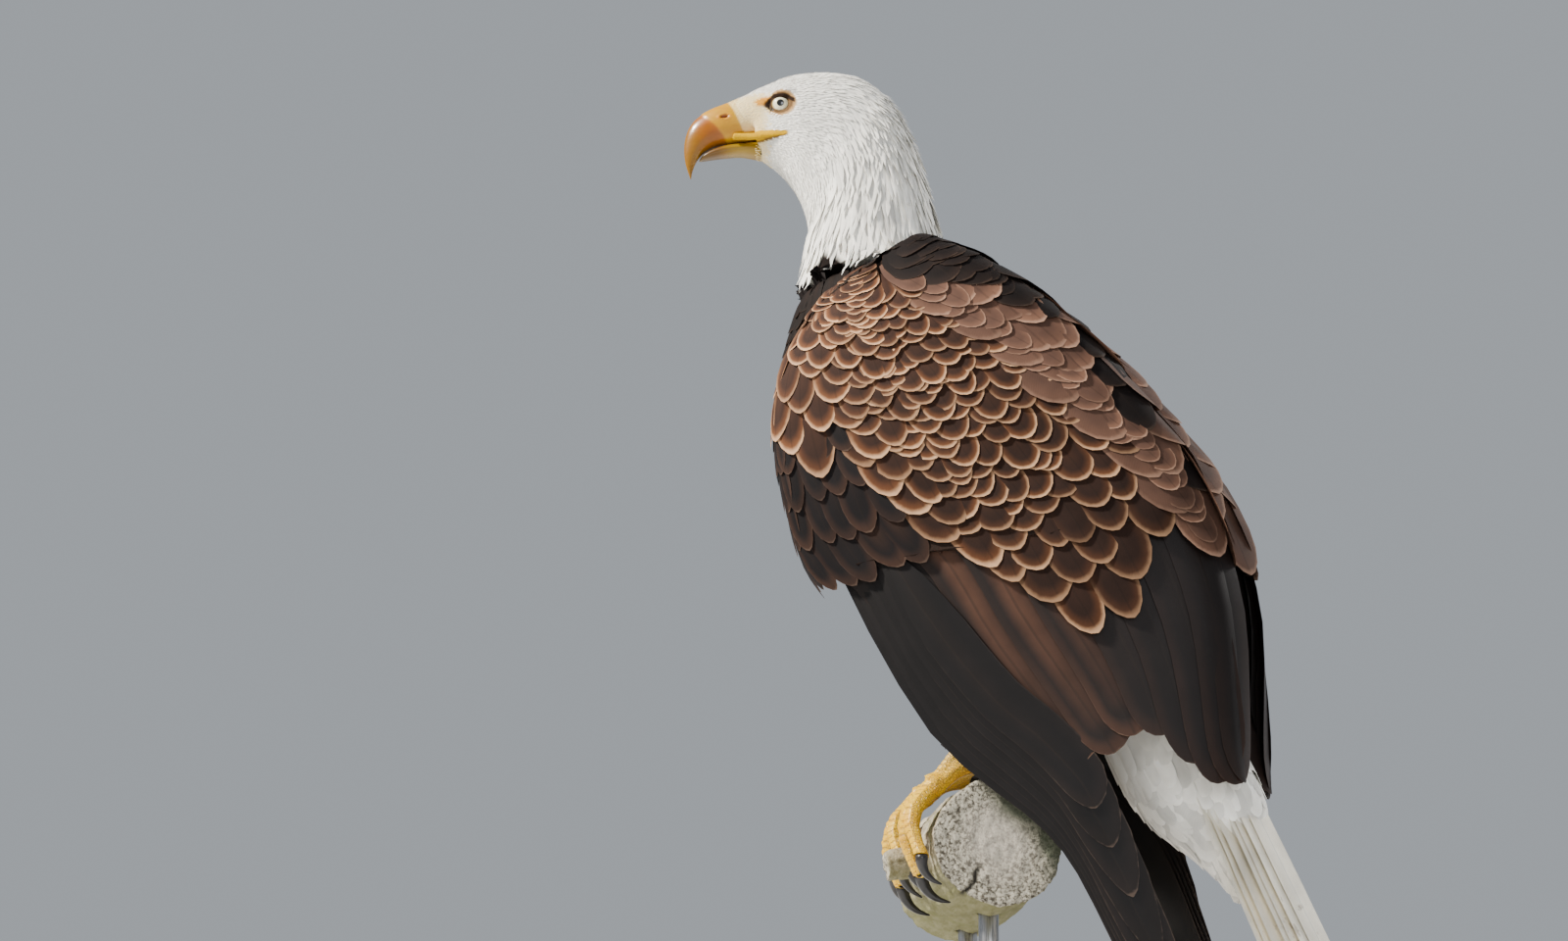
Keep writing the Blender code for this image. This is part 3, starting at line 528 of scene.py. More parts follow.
def vanes(name, paths, normals, half_widths, shape, finish, slot, lift, nodes=(), *, places, roll,
          tone=None, columns=5, camber=0.045, thickness=0.00028, fringe=0.3, light=1.0,
          balance=0.0, ragged=0.0, bend=0.0):
    """One piece of many feathers. Each follows its own path over the skin, from root to tip, and
    bends across as the surface under it does. balance makes one half of the vane wider, and places
    are the feathers' places on the unwrapped skin."""
    count, rows = paths.shape[:2]
    along = unit(np.gradient(paths, axis=1))
    across = unit(np.cross(along, normals))
    above = np.cross(across, along)
    turn = np.broadcast_to(np.asarray(roll, float), (count,))[:, None, None]
    across, above = (across * np.cos(turn) + above * np.sin(turn),
                     above * np.cos(turn) - across * np.sin(turn))
    flat = np.linspace(-1, 1, columns)
    uneven = np.broadcast_to(np.asarray(balance, float), (count,))[:, None, None]
    x = flat * (1 + np.sign(flat) * uneven)
    wide = np.asarray(half_widths, float)[:, None] * shape.widths[None, :]
    wide = wide * (1 + ragged * rng.uniform(-1, 1, wide.shape))
    raised = lift[:, :, None] - ((camber + 0.5 * bend * wide) * wide)[:, :, None] * x * x
    top = (paths[:, :, None] + across[:, :, None] * (wide[:, :, None] * x)[..., None]
           + above[:, :, None] * raised[..., None])
    under = top[:, 1:-1, columns // 2] - above[:, 1:-1] * thickness
    corners = np.concatenate([top.reshape(count, -1, 3), under], axis=1)
    per = corners.shape[1]
    faces = vane_faces(rows, columns)
    sizes = np.array([len(f) for f in faces])
    ring = np.concatenate([np.array(f) for f in faces])
    loops = (ring[None] + per * np.arange(count)[:, None]).ravel()
    starts = np.concatenate([[0], np.cumsum(np.tile(sizes, count))[:-1]])
    mesh = bpy.data.meshes.new(name)
    mesh.vertices.add(count * per)
    mesh.vertices.foreach_set("co", corners.astype(np.float32).ravel())
    mesh.loops.add(len(loops))
    mesh.loops.foreach_set("vertex_index", loops.astype(np.int32))
    mesh.polygons.add(len(starts))
    mesh.polygons.foreach_set("loop_start", starts.astype(np.int32))
    mesh.update(calc_edges=True)
    # Each feather's own map, and its patch on the unwrapped skin.
    u = 0.5 + 0.5 * flat[None, :] * shape.widths[:, None]
    v = np.repeat(shape.reach, columns)
    own = np.concatenate([np.stack([u.ravel(), v], 1),
                          np.stack([np.full(rows - 2, 0.5), shape.reach[1:-1]], 1)])
    mesh.uv_layers.new(name="vane").data.foreach_set(
        "uv", np.tile(own[ring], (count, 1)).astype(np.float32).ravel())
    low, high = places.min(0), places.max(0)
    spots = 0.01 + 0.98 * (places - low) / np.maximum(high - low, 1e-9)
    patch = spots[:, None] + (own[ring][None] - 0.5) * BAKE_PATCH
    mesh.uv_layers.new(name="OFBake").data.foreach_set(
        "uv", np.clip(patch, 0, 1).astype(np.float32).ravel())
    marks = np.ones((count, per, 4), dtype=np.float32)
    tone = rng.uniform(0.2, 0.8, count) if tone is None else tone
    for channel, value in enumerate((np.clip(tone, 0, 1), fringe, light)):
        marks[:, :, channel] = np.broadcast_to(np.asarray(value, float), (count,))[:, None]
    put_colours(mesh, "marks", marks)
    mesh.materials.append(FINISH[finish])
    mesh.shade_smooth()
    rim = np.zeros((rows, columns), dtype=bool)
    rim[0] = rim[-1] = True
    rim[:, 0] = rim[:, -1] = True
    rim = np.tile(np.concatenate([rim.ravel(), np.zeros(rows - 2, dtype=bool)]), count)
    edges = edge_rows(mesh)
    sharp = mesh.attributes.new("sharp_edge", "BOOLEAN", "EDGE")
    sharp.data.foreach_set("value", rim[edges[:, 0]] & rim[edges[:, 1]])
    return piece(link_mesh(name, mesh), slot, *nodes, smooth=False)


def roof_lift(count, shape, root, tip, wander, power=1.0):
    """How high each feather stands off its path, from root to tip."""
    t = shape.steps[None] ** power
    ends = tip * (1 + wander * rng.uniform(-1, 1, count))[:, None]
    return root * (1 - t) + ends * t


def walk(ground, roots, heading, lengths, shape):
    """Paths over the skin that follow the lie of the coat, with the skin's normals along them."""
    spots, normals, _ = nearest(ground, roots)
    paths, sides = [spots], [normals]
    lengths = np.asarray(lengths)[:, None]
    for share in np.diff(shape.steps):
        way = heading(spots)
        way = unit(way - normals * (way * normals).sum(1, keepdims=True))
        spots, normals, _ = nearest(ground, spots + way * lengths * share)
        paths.append(spots)
        sides.append(normals)
    return np.stack(paths, 1), unit(np.stack(sides, 1))


def spread(ground, grid, spacing, reach, tries, keep=None):
    """Places spaced evenly over the part of a loft's surface that the skin lies close under.
    spacing is the distance that feathers keep, or a function that gives it at points."""
    rows, columns = grid.shape[:2]
    low, high = grid[:-1], grid[1:]
    area = np.linalg.norm(np.cross(np.roll(low, -1, axis=1) - low, high - low), axis=2)
    pick = rng.choice(area.size, tries, p=(area / area.sum()).ravel())
    i, k = np.divmod(pick, columns)
    s, t = rng.random(tries)[:, None], rng.random(tries)[:, None]
    after = (k + 1) % columns
    points = ((grid[i, k] * (1 - s) + grid[i + 1, k] * s) * (1 - t)
              + (grid[i, after] * (1 - s) + grid[i + 1, after] * s) * t)
    places = np.stack([(k + t[:, 0]) / columns, (i + s[:, 0]) / (rows - 1)], 1)
    spots, _, far = nearest(ground, points)
    good = far < reach
    if keep is not None:
        good &= keep(spots)
    points, places = spots[good], places[good]
    wanted = spacing(points) if callable(spacing) else np.full(len(points), spacing)
    boxes, chosen = {}, []
    cells = np.floor(points / wanted.max()).astype(int)
    near = [(a, b, c) for a in (-1, 0, 1) for b in (-1, 0, 1) for c in (-1, 0, 1)]
    for n, ((x, y, z), (px, py, pz)) in enumerate(zip(cells.tolist(), points.tolist())):
        limit = wanted[n] ** 2
        if all((px - qx) ** 2 + (py - qy) ** 2 + (pz - qz) ** 2 >= limit
               for a, b, c in near for qx, qy, qz in boxes.get((x + a, y + b, z + c), ())):
            boxes.setdefault((x, y, z), []).append((px, py, pz))
            chosen.append(n)
    return points[chosen], places[chosen]


def coat(name, ways, places, half, shape, finish, slot, lift, roll, tone=None, **looks):
    """A piece of small feathers along walked ways. lift is for roof_lift; roll and tone say how
    much those differ from feather to feather."""
    count = len(half)
    vanes(name, *ways, half, shape, finish, slot, roof_lift(count, shape, *lift),
          roll=rng.normal(0, roll, count), tone=None if tone is None else rng.uniform(*tone, count),
          places=places, **looks)


# ---------------------------------------------------------------- lofts of the part, as grids
# A head's row: forward and up at its top, the same at its bottom, half width, share of the turn.
HEAD_KEYS = [
    (0.0640, 0.0215, 0.0600, -0.0285, 0.0165, 1.0), (0.0520, 0.0285, 0.0520, -0.0330, 0.0235, 1.0),
    (0.0390, 0.0338, 0.0430, -0.0400, 0.0300, 1.0), (0.0220, 0.0369, 0.0350, -0.0500, 0.0355, 1.0),
    (0.0030, 0.0374, 0.0290, -0.0610, 0.0385, 1.0), (-0.0180, 0.0335, 0.0255, -0.0715, 0.0405, 1.0),
    (-0.036, 0.020, 0.024, -0.080, 0.042, 0.9), (-0.050, 0.000, 0.0235, -0.086, 0.0435, 0.8),
    (-0.060, -0.026, 0.024, -0.0895, 0.0455, 0.6), (-0.069, -0.055, 0.0242, -0.093, 0.0465, 0.3),
    (-0.078, -0.092, 0.024, -0.103, 0.049, 0.0), (-0.081, -0.104, 0.025, -0.120, 0.054, 0.0),
    (-0.0830, -0.1120, 0.0290, -0.1360, 0.0600, 0.0),
]
# The trunk's: back and up at its top, the same at its bottom, half width.
TRUNK_KEYS = [
    (-0.052, 0.490, -0.132, 0.472, 0.034), (-0.012, 0.458, -0.151, 0.418, 0.064),
    (0.022, 0.421, -0.158, 0.374, 0.078), (0.056, 0.382, -0.156, 0.325, 0.084),
    (0.088, 0.344, -0.141, 0.272, 0.084), (0.115, 0.301, -0.108, 0.222, 0.080),
    (0.134, 0.257, -0.075, 0.178, 0.073), (0.146, 0.212, -0.033, 0.143, 0.063),
    (0.150, 0.170, 0.015, 0.116, 0.052), (0.146, 0.132, 0.060, 0.100, 0.041),
]
# The tail coverts': distance along the tail, half width, half height, height of the middle.
TAIL_COVERT_KEYS = [
    (0.005, 0.040, 0.044, -0.034), (0.040, 0.042, 0.045, -0.034), (0.080, 0.040, 0.041, -0.031),
    (0.106, 0.036, 0.033, -0.026), (0.127, 0.030, 0.020, -0.026), (0.147, 0.021, 0.010, -0.028),
    (0.160, 0.011, 0.004, -0.030),
]
TAIL_ROOT = np.array((0.0, 0.136, 0.152)) + BIRD_ORIGIN
TAIL_FALL, TAIL_ROLL, TAIL_LENGTH = math.radians(65.5), math.radians(14), 0.300
TAIL_ALONG = np.array((0, math.cos(TAIL_FALL), -math.sin(TAIL_FALL)))
ROLLED = np.array(Matrix.Rotation(TAIL_ROLL, 3, Vector(TAIL_ALONG)))
TAIL_ASIDE = ROLLED @ np.array((1.0, 0, 0))
TAIL_ABOVE = ROLLED @ np.array((0, math.sin(TAIL_FALL), math.cos(TAIL_FALL)))
GRID_SIDES = 48


def oval_rings(top, bottom, side, wide, fullness=0.92, sides=GRID_SIDES):
    angle = 2 * math.pi * np.arange(sides) / sides
    across = np.copysign(np.abs(np.sin(angle)) ** fullness, np.sin(angle))
    middle, reach = (top + bottom) / 2, (top - bottom) / 2
    return (middle[:, None] + reach[:, None] * np.cos(angle)[None, :, None]
            + (side * wide[:, None])[:, None] * across[None, :, None])


def head_grid(first, last, count=90):
    keys = along_keys(HEAD_KEYS, np.linspace(first, last, count))
    turn = HEAD_TURN * keys[:, 5]
    zero = np.zeros_like(turn)
    ahead = np.stack([np.sin(turn), -np.cos(turn), zero], 1)
    aside = np.stack([np.cos(turn), np.sin(turn), zero], 1)
    top = HEAD_CENTRE + (ahead * keys[:, :1] + UP * keys[:, 1:2]) * HEAD_SCALE
    bottom = HEAD_CENTRE + (ahead * keys[:, 2:3] + UP * keys[:, 3:4]) * HEAD_SCALE
    return oval_rings(top, bottom, aside, keys[:, 4])


def trunk_grid(count=80):
    keys = along_keys(TRUNK_KEYS, np.linspace(0, len(TRUNK_KEYS) - 1, count))
    zero = np.zeros(count)
    top = np.stack([zero, keys[:, 0], keys[:, 1]], 1) + BIRD_ORIGIN
    bottom = np.stack([zero, keys[:, 2], keys[:, 3]], 1) + BIRD_ORIGIN
    return oval_rings(top, bottom, np.array((1.0, 0, 0)), keys[:, 4])


def tail_point(distance, across, height):
    distance, across, height = (np.asarray(v, float)[..., None] for v in (distance, across, height))
    return TAIL_ROOT + TAIL_ALONG * distance + TAIL_ASIDE * across + TAIL_ABOVE * height


def tail_covert_grid(count=40):
    keys = along_keys(TAIL_COVERT_KEYS, np.linspace(0, len(TAIL_COVERT_KEYS) - 1, count))
    top = tail_point(keys[:, 0], 0, keys[:, 3] + keys[:, 2])
    bottom = tail_point(keys[:, 0], 0, keys[:, 3] - keys[:, 2])
    return oval_rings(top, bottom, TAIL_ASIDE, keys[:, 1])


def on_perch(place, angle, height):
    """A point round the perch: place along it, angle from its top towards its front."""
    out = PERCH_FRONT * math.sin(angle) + UP * math.cos(angle)
    return PERCH_CENTRE + PERCH_AXIS * place + out * (PERCH_RADIUS - PERCH_TAPER * place + height)


FOOT_PLACES = {"left": 0.050, "right": -0.062}
FOOT_ANGLE = math.radians(44)
# Each toe's angle aside in degrees, its reach and its half thickness
TOES = {"inner": (-30, 0.052, 0.0078), "middle": (0, 0.068, 0.0078), "outer": (27, 0.056, 0.0072),
        "hind": (6, 0.040, 0.0080)}


def leg_points(side, mirror):
    ankle = on_perch(FOOT_PLACES[side], FOOT_ANGLE, 0.011)
    knee, calf, hock = (np.array(p) + BIRD_ORIGIN for p in
                        ((0.056 * mirror, -0.008, 0.190), (0.057 * mirror, 0.002, 0.150),
                         (0.053 * mirror, 0.004, 0.116)))
    return knee, calf, hock, ankle


def toe_line(side, mirror, toe, count=40):
    """The middle of a toe as it arches over the perch."""
    aside, reach, thick = TOES[toe]
    aside = math.tan(math.radians(aside)) * reach * mirror
    onwards = -1 if toe == "hind" else 1
    radius = PERCH_RADIUS - PERCH_TAPER * FOOT_PLACES[side] + thick
    rows = []
    for t in np.linspace(0, 1, count):
        arch = 0.006 * math.sin(math.pi * min(t * 1.08, 1)) * (1 if onwards > 0 else 0.3)
        width = thick * (1.05 - 0.30 * t) * (1 + 0.10 * math.cos(4 * math.pi * t))
        rows.append(on_perch(FOOT_PLACES[side] + aside * t,
                             FOOT_ANGLE + onwards * reach / radius * t, width + 0.0006 + arch))
    return np.array(rows)


def thigh_grid(side, mirror, count=30):
    knee, calf, hock, ankle = leg_points(side, mirror)
    rows = [(*(knee + (0, 0, 0.035)), 0.026, 0.042), (*knee, 0.033, 0.042), (*calf, 0.031, 0.038),
            (*hock, 0.023, 0.025), (*(hock + (ankle - hock) * 0.38), 0.0135, 0.0145)]
    keys = along_keys(rows, np.linspace(0, 4, count))
    lean = np.stack([np.zeros(count), keys[:, 4], 0.3 * keys[:, 4]], 1)
    return oval_rings(keys[:, :3] + lean, keys[:, :3] - lean, np.array((1.0, 0, 0)), keys[:, 3])


# ---------------------------------------------------------------- lie of the coat
def flow_of(*grids):
    """The direction of the coat at points: that of the nearest loft's lines, from row to row."""
    spots, ways = [], []
    for grid in grids:
        way = unit(np.gradient(grid, axis=0))
        spots.append(grid.reshape(-1, 3))
        ways.append(way.reshape(-1, 3))
    spots, ways = np.concatenate(spots), np.concatenate(ways)
    tree = KDTree(len(spots))
    for k, spot in enumerate(spots):
        tree.insert(spot, k)
    tree.balance()

    def heading(points):
        rows = np.empty_like(points)
        for k, point in enumerate(points):
            near = [n for _, n, _ in tree.find_n(point, 3)]
            rows[k] = ways[near].mean(0)
        return unit(rows)

    return heading


# ---------------------------------------------------------------- the folded wing
# Rows of the wing from shoulder to tip: its front edge (out, back, up), then its upper one.
WING_KEYS = [
    (0.082, -0.100, 0.418, 0.040, -0.036, 0.464), (0.096, -0.119, 0.372, 0.040, 0.009, 0.443),
    (0.101, -0.124, 0.325, 0.038, 0.051, 0.412), (0.102, -0.116, 0.280, 0.037, 0.091, 0.373),
    (0.099, -0.101, 0.232, 0.036, 0.126, 0.329), (0.095, -0.070, 0.193, 0.035, 0.154, 0.287),
    (0.092, -0.038, 0.138, 0.034, 0.173, 0.240), (0.088, 0.010, 0.083, 0.033, 0.184, 0.190),
    (0.085, 0.052, 0.050, 0.032, 0.187, 0.130), (0.080, 0.088, 0.008, 0.031, 0.188, 0.068),
]
WING_BULGE, WING_FRONT = 0.009, 0.022
# The most that a feather may curve across, per metre, and how much narrower the front ones are
MOST_BEND, FRONT_SLIM = 80, 0.4
# The angle past which the shoulder feathers reach over the back, and their last
OVER_BACK, LAST_ANGLE = 92, 119
# Rows of the closed fan of primaries from wrist to tip: its lower edge, then its upper one.
PRIMARY_KEYS = [
    (0.094, -0.085, 0.213, 0.096, -0.030, 0.225), (0.094, -0.050, 0.158, 0.095, 0.002, 0.175),
    (0.092, -0.015, 0.107, 0.092, 0.040, 0.130), (0.088, 0.017, 0.077, 0.088, 0.070, 0.104),
    (0.084, 0.050, 0.053, 0.083, 0.092, 0.076), (0.079, 0.073, 0.031, 0.077, 0.102, 0.051),
    (0.073, 0.089, 0.005, 0.070, 0.115, 0.021), (0.066, 0.107, -0.035, 0.061, 0.131, -0.018),
    (0.059, 0.131, -0.081, 0.052, 0.152, -0.066), (0.052, 0.155, -0.120, 0.046, 0.172, -0.110),
    (0.047, 0.171, -0.136, 0.044, 0.178, -0.132),
]


def wing_at(station, angle, inset):
    """Points on the folded left wing: station from shoulder to tip, angle from edge to back."""
    station, angle, inset = np.broadcast_arrays(*(np.asarray(v, float)
                                                  for v in (station, angle, inset)))
    keys = along_keys(WING_KEYS, np.clip(station, 0, len(WING_KEYS) - 1))
    ex, ey, ez, bx, by, bz = np.moveaxis(keys, -1, 0)
    turn = np.radians(angle)
    zero = np.zeros_like(ex)
    across = np.stack([ex - bx, zero, zero], -1)
    along = np.stack([zero, by - ey, bz - ez], -1)
    front = (angle < 0)[..., None]
    along = np.where(front, unit(along) * WING_FRONT, along)
    swell = np.where(angle < 0, 0, WING_BULGE * (1 - 0.07 * station) * np.sin(2 * turn))
    middle = np.stack([bx, ey, ez], -1)
    point = middle + across * np.cos(turn)[..., None] + along * np.sin(turn)[..., None]
    out = unit(across) * np.cos(turn)[..., None] + unit(along) * np.sin(turn)[..., None]
    return point + out * (swell - inset)[..., None] + BIRD_ORIGIN


def scapular_at(station, angle, inset):
    """The same for the shoulder feathers, which stand higher and reach over the back."""
    station, angle, inset = np.broadcast_arrays(*(np.asarray(v, float)
                                                  for v in (station, angle, inset)))
    edge = np.clip((angle - 46) / 72, 0, 1)
    share = np.clip((station - 0.15) / 6, 0, 1)
    lift = 0.001 + 0.006 * np.sin(np.pi * edge) * (1 - 0.4 * share)
    beyond = np.maximum(angle - OVER_BACK, 0)[..., None]
    over = np.array((-0.0011, -0.0003, -0.0002)) * beyond
    return wing_at(station, np.minimum(angle, OVER_BACK), inset - lift) + over


def surface_normals(surface, station, angle, inset):
    """The outward normals of a wing surface, from its slopes."""
    down = surface(station + 0.04, angle, inset) - surface(station - 0.04, angle, inset)
    round_ = surface(station, angle + 1.5, inset) - surface(station, angle - 1.5, inset)
    return unit(np.cross(down, round_))


def per_station(surface, station, angle):
    return np.linalg.norm(surface(station + 0.1, angle, 0.0) - surface(station - 0.1, angle, 0.0),
                          axis=-1) / 0.2


def wing_paths(surface, mirror, first, last, angle, drift, root, tip, shape):
    """Paths of feathers along the wing, which sink under the row before at their roots, with the
    normals along them and how much the wing bends across them."""
    t = shape.steps[None]
    station = first[:, None] + (last - first)[:, None] * t
    turned = angle[:, None] + drift[:, None] * t
    inset = root[:, None] * (1 - t) + tip[:, None] * t
    paths = surface(station, turned, inset)
    normals = surface_normals(surface, station, turned, inset)
    low, high = turned - 4, turned + 4
    across = surface(station, high, inset) - surface(station, low, inset)
    swing = (surface_normals(surface, station, high, inset)
             - surface_normals(surface, station, low, inset))
    bend = ((swing * across).sum(-1) / (across ** 2).sum(-1)).clip(0, MOST_BEND)
    flip = np.array((mirror, 1, 1))
    return paths * flip, normals * flip, bend


def slope_levels(begin, end, root, tip, first, last):
    """Depths at a feather's root and tip, on the slope that its row shares."""
    rise = (tip - root) / (end - begin)
    return root + rise * (first - begin), root + rise * (last - begin)


def row_sizes(reach, step, half, length):
    """Steps, half widths and lengths of rows, larger towards the tips. A step and a half width are
    their least value, what the first row has more, and how far on that has faded."""
    steps, halves, lengths = [], [], []
    back = 0.0
    while back < reach:
        steps.append(step[0] + step[1] * math.exp(-back / step[2]))
        halves.append(half[0] + half[1] * math.exp(-back / half[2]))
        lengths.append(length[0] + length[1] * steps[-1])
        back += steps[-1]
    return steps, halves, lengths


def table_at(rows, places):
    return np.interp(places, [r[0] for r in rows], [r[1] for r in rows])


def wing_rows(surface, tips, angles, overlap, steps, half_widths, lengths, slim=0.0):
    """Feathers in rows that follow the line of the last row's tips, each row set half a feather
    along from the one before. Those round the wing's front edge are narrower by the share slim.
    Gives each tip's station, its angle, the root's station, the half width and how far back the
    row lies."""
    fine = np.linspace(*angles, 240)
    narrow = 1 - slim * smoothstep(12, -4, fine)
    sites = []
    back = 0.0
    for row, (step, half, length) in enumerate(zip(steps, half_widths, lengths)):
        scale = per_station(surface, np.clip(table_at(tips, fine) - 0.5, 0.3, 8.5), fine)
        ends = table_at(tips, fine) - back / scale
        points = surface(np.maximum(ends, 0), fine, 0.0)
        run = np.concatenate([[0], np.cumsum(np.linalg.norm(np.diff(points, axis=0), axis=1)
                                             / narrow[1:])])
        gap = 2 * half * overlap
        spots = (np.arange(int(run[-1] / gap) + 1) + (0.5 if row % 2 else 0.0)) * gap
        spots = spots[spots < run[-1]]
        turn = np.interp(spots, run, fine)
        end = np.interp(spots, run, ends)
        begin = end - length / np.interp(spots, run, scale)
        good = end > 0.25
        sites.append(np.stack([end, turn, begin, half * np.interp(turn, fine, narrow),
                               np.full(len(end), back)], 1)[good])
        back += step
    return np.concatenate(sites)


# How far along the wing, in stations, each coat's last row ends at an angle from the front edge
PALE_TIPS = [(-60, 2.10), (0, 2.35), (6, 2.90), (12, 3.30), (17, 3.70), (20, 4.40), (25, 5.50),
             (34, 6.45), (40, 6.70), (48, 6.25), (56, 6.0), (72, 5.6)]
HAND_TIPS = [(-60, 4.45), (-5, 4.62), (6, 4.75), (16, 4.90), (24, 5.3)]
SHOULDER_TIPS = [(44, 1.5), (50, 2.3), (56, 3.3), (60, 4.2), (64, 5.2), (68, 6.05), (76, 6.55),
                 (92, 6.6), (102, 6.2), (119, 5.5)]
FLIGHT_TIPS = [(2, 6.7), (8, 7.15), (14, 7.55), (20, 7.85), (27, 7.95), (34, 7.85), (43, 8.15),
               (49, 8.50), (60, 8.85), (72, 8.93), (92, 8.93)]


def coat_at(station, angle, inset):
    """The coverts' surface: the wing's, which rises a little towards the shoulder feathers."""
    rise = 0.0030 * smoothstep(44, 60, np.asarray(angle, float))
    return wing_at(station, angle, inset - rise)


def stations(begin, end):
    """Where feathers start and end along the wing, a little at random."""
    count = len(end)
    return (np.maximum(begin, 0.02) + rng.uniform(0, 0.05, count),
            end + rng.uniform(-0.12, 0.12, count))


def make_hand(node, mirror):
    """Dark coverts of the hand."""
    sites = wing_rows(wing_at, HAND_TIPS, (-58, 19), 0.80, [0.034, 0.030, 0.026, 0.024],
                      [0.0130, 0.0120, 0.0110, 0.0100], [0.092, 0.080, 0.070, 0.060], FRONT_SLIM)
    end, angle, begin, half, back = sites.T
    count = len(end)
    last = end + rng.uniform(-0.05, 0.05, count)
    first = np.maximum(begin, 0.4)
    paths, normals, bend = wing_paths(wing_at, mirror, first, last, angle,
                                      rng.uniform(-1, 1, count),
                                      *slope_levels(begin, end, 0.0062, 0.0022, first, last), ROUND)
    lit = smoothstep(7, 11, angle) * smoothstep(17.5, 14, angle) * (back < 0.03)
    vanes(node + "hand_feathers", paths, normals, half, ROUND, "hand", "dark_plumage",
          roof_lift(count, ROUND, 0.0, 0.0002, 0.8), camber=0.04, bend=bend,
          roll=0.05 * mirror + rng.normal(0, 0.006, count), fringe=rng.uniform(0.2, 0.6, count),
          light=0.15 + 1.2 * lit, tone=rng.uniform(0.35, 0.7, count),
          places=np.stack([angle, last], 1))


def make_coverts(node, mirror):
    """Pale-fringed coverts, larger row by row towards the flight feathers."""
    sizes = row_sizes(0.31, (0.0150, 0.0240, 0.055), (0.0098, 0.0077, 0.10), (0.026, 1.9))
    sites = wing_rows(coat_at, PALE_TIPS, (-57, 66), 0.80, *sizes, FRONT_SLIM)
    end, angle = sites.T[:2]
    sites = sites[(angle < 45) | (end > table_at(SHOULDER_TIPS, angle) - 0.4)]
    end, angle, begin, half, _ = sites.T
    count = len(end)
    first, last = stations(begin, end)
    angle = angle + rng.uniform(-1.0, 1.0, count)
    depths = slope_levels(begin, end, np.where(angle < 0, 0.0058, 0.0078), 0.0012, first, last)
    paths, normals, bend = wing_paths(coat_at, mirror, first, last, angle,
                                      rng.uniform(-0.8, 0.8, count), *depths, ROUND)
    # Painted light: dark dims the lower rear coverts as painted shade, and shade lets tone fall
    # from the shoulder down, partly painted sunlight on the upper rows and partly the feathers' own
    # fading.
    dark = smoothstep(28, 40, angle) * smoothstep(4.7, 5.7, last)
    shade = np.clip(0.95 - 0.19 * last - 0.06 * smoothstep(10, 40, angle), 0.08, 0.85)
    vanes(node + "coverts_feathers", paths, normals, half * rng.uniform(0.86, 1.12, count), ROUND,
          "covert", "dark_plumage", roof_lift(count, ROUND, 0.0, 0.0003, 0.8), bend=bend,
          roll=0.050 * mirror + rng.normal(0, 0.006, count),
          fringe=rng.uniform(0.35, 1.15, count) * (1 - 0.60 * dark), light=0.3 * (1 - dark),
          tone=shade * rng.uniform(0.7, 1.25, count) * (1 - 0.60 * dark),
          places=np.stack([angle, last], 1))


def shoulder_border(station):
    """The angle of the shoulder feathers' lower border."""
    return np.interp(station, [0, 1.5, 2.3, 3.3, 4.2, 5.2, 6.05], [36, 46, 52, 58, 62, 66, 70])


def make_shoulder(node, mirror):
    """Shoulder feathers, with one more row along their lower border, over the others."""
    sizes = row_sizes(0.34, (0.024, 0.030, 0.10), (0.0145, 0.0075, 0.12), (0.030, 1.7))
    sites = wing_rows(scapular_at, SHOULDER_TIPS, (47, 118.5), 0.82, *sizes)
    ends = np.repeat(np.arange(1.2, 6.0, 0.34), 2)
    shift = np.tile([0.0, 3.0], len(ends) // 2)
    ends = ends + 0.05 * shift
    added = np.stack([ends, shoulder_border(ends - 0.9) + shift, ends - 0.9,
                      0.0088 + 0.0003 * ends, np.full(len(ends), -1.0)], 1)
    end, angle, begin, half, back = np.concatenate([sites, added]).T
    count = len(end)
    first, last = stations(begin, end)
    angle = np.minimum(angle + rng.uniform(-1.2, 1.2, count), LAST_ANGLE)
    drift = np.where(back < 0, shoulder_border(end) - shoulder_border(begin), 0)
    drift = drift + rng.uniform(-0.8, 0.8, count)
    depths = slope_levels(begin, end, np.where(back < 0, 0.0058, 0.0082),
                          np.where(back < 0, 0.0004, 0.0010), first, last)
    paths, normals, bend = wing_paths(scapular_at, mirror, first, last, angle, drift, *depths,
                                      BLUNT)
    # At the neck's base, and on the left in a cleft beside the back's middle, the feathers get the
    # near-black finish as painted shade.
    edge = np.interp(last - 0.3, [0.4, 1.0, 1.5, 2.2, 4.0, 5.2, 6.5], [45, 51, 61, 69, 70, 76, 78])
    cleft = (angle > edge) & (angle < edge + (9 if mirror > 0 else 0))
    dark = ((last < 2.3) & (angle > edge)) | cleft
    half = half * rng.uniform(0.9, 1.1, count)
    fringe, roll = rng.uniform(0.2, 0.9, count), 0.048 * mirror + rng.normal(0, 0.006, count)
    # Tone falls from the shoulder's top downwards, partly as painted sunlight and partly the
    # feathers' own fading.
    tone = np.clip(0.95 - 0.11 * last, 0.25, 0.9) * rng.uniform(0.6, 1.25, count)
    for finish, where in (("scapular", ~dark), ("mantle", dark)):
        vanes(f"{node}{finish}_feathers", paths[where], normals[where], half[where], BLUNT, finish,
              "dark_plumage", roof_lift(int(where.sum()), BLUNT, 0.0, 0.0004, 0.8),
              bend=bend[where], roll=roll[where], fringe=fringe[where], light=0.5,
              tone=tone[where], places=np.stack([angle, last], 1)[where])


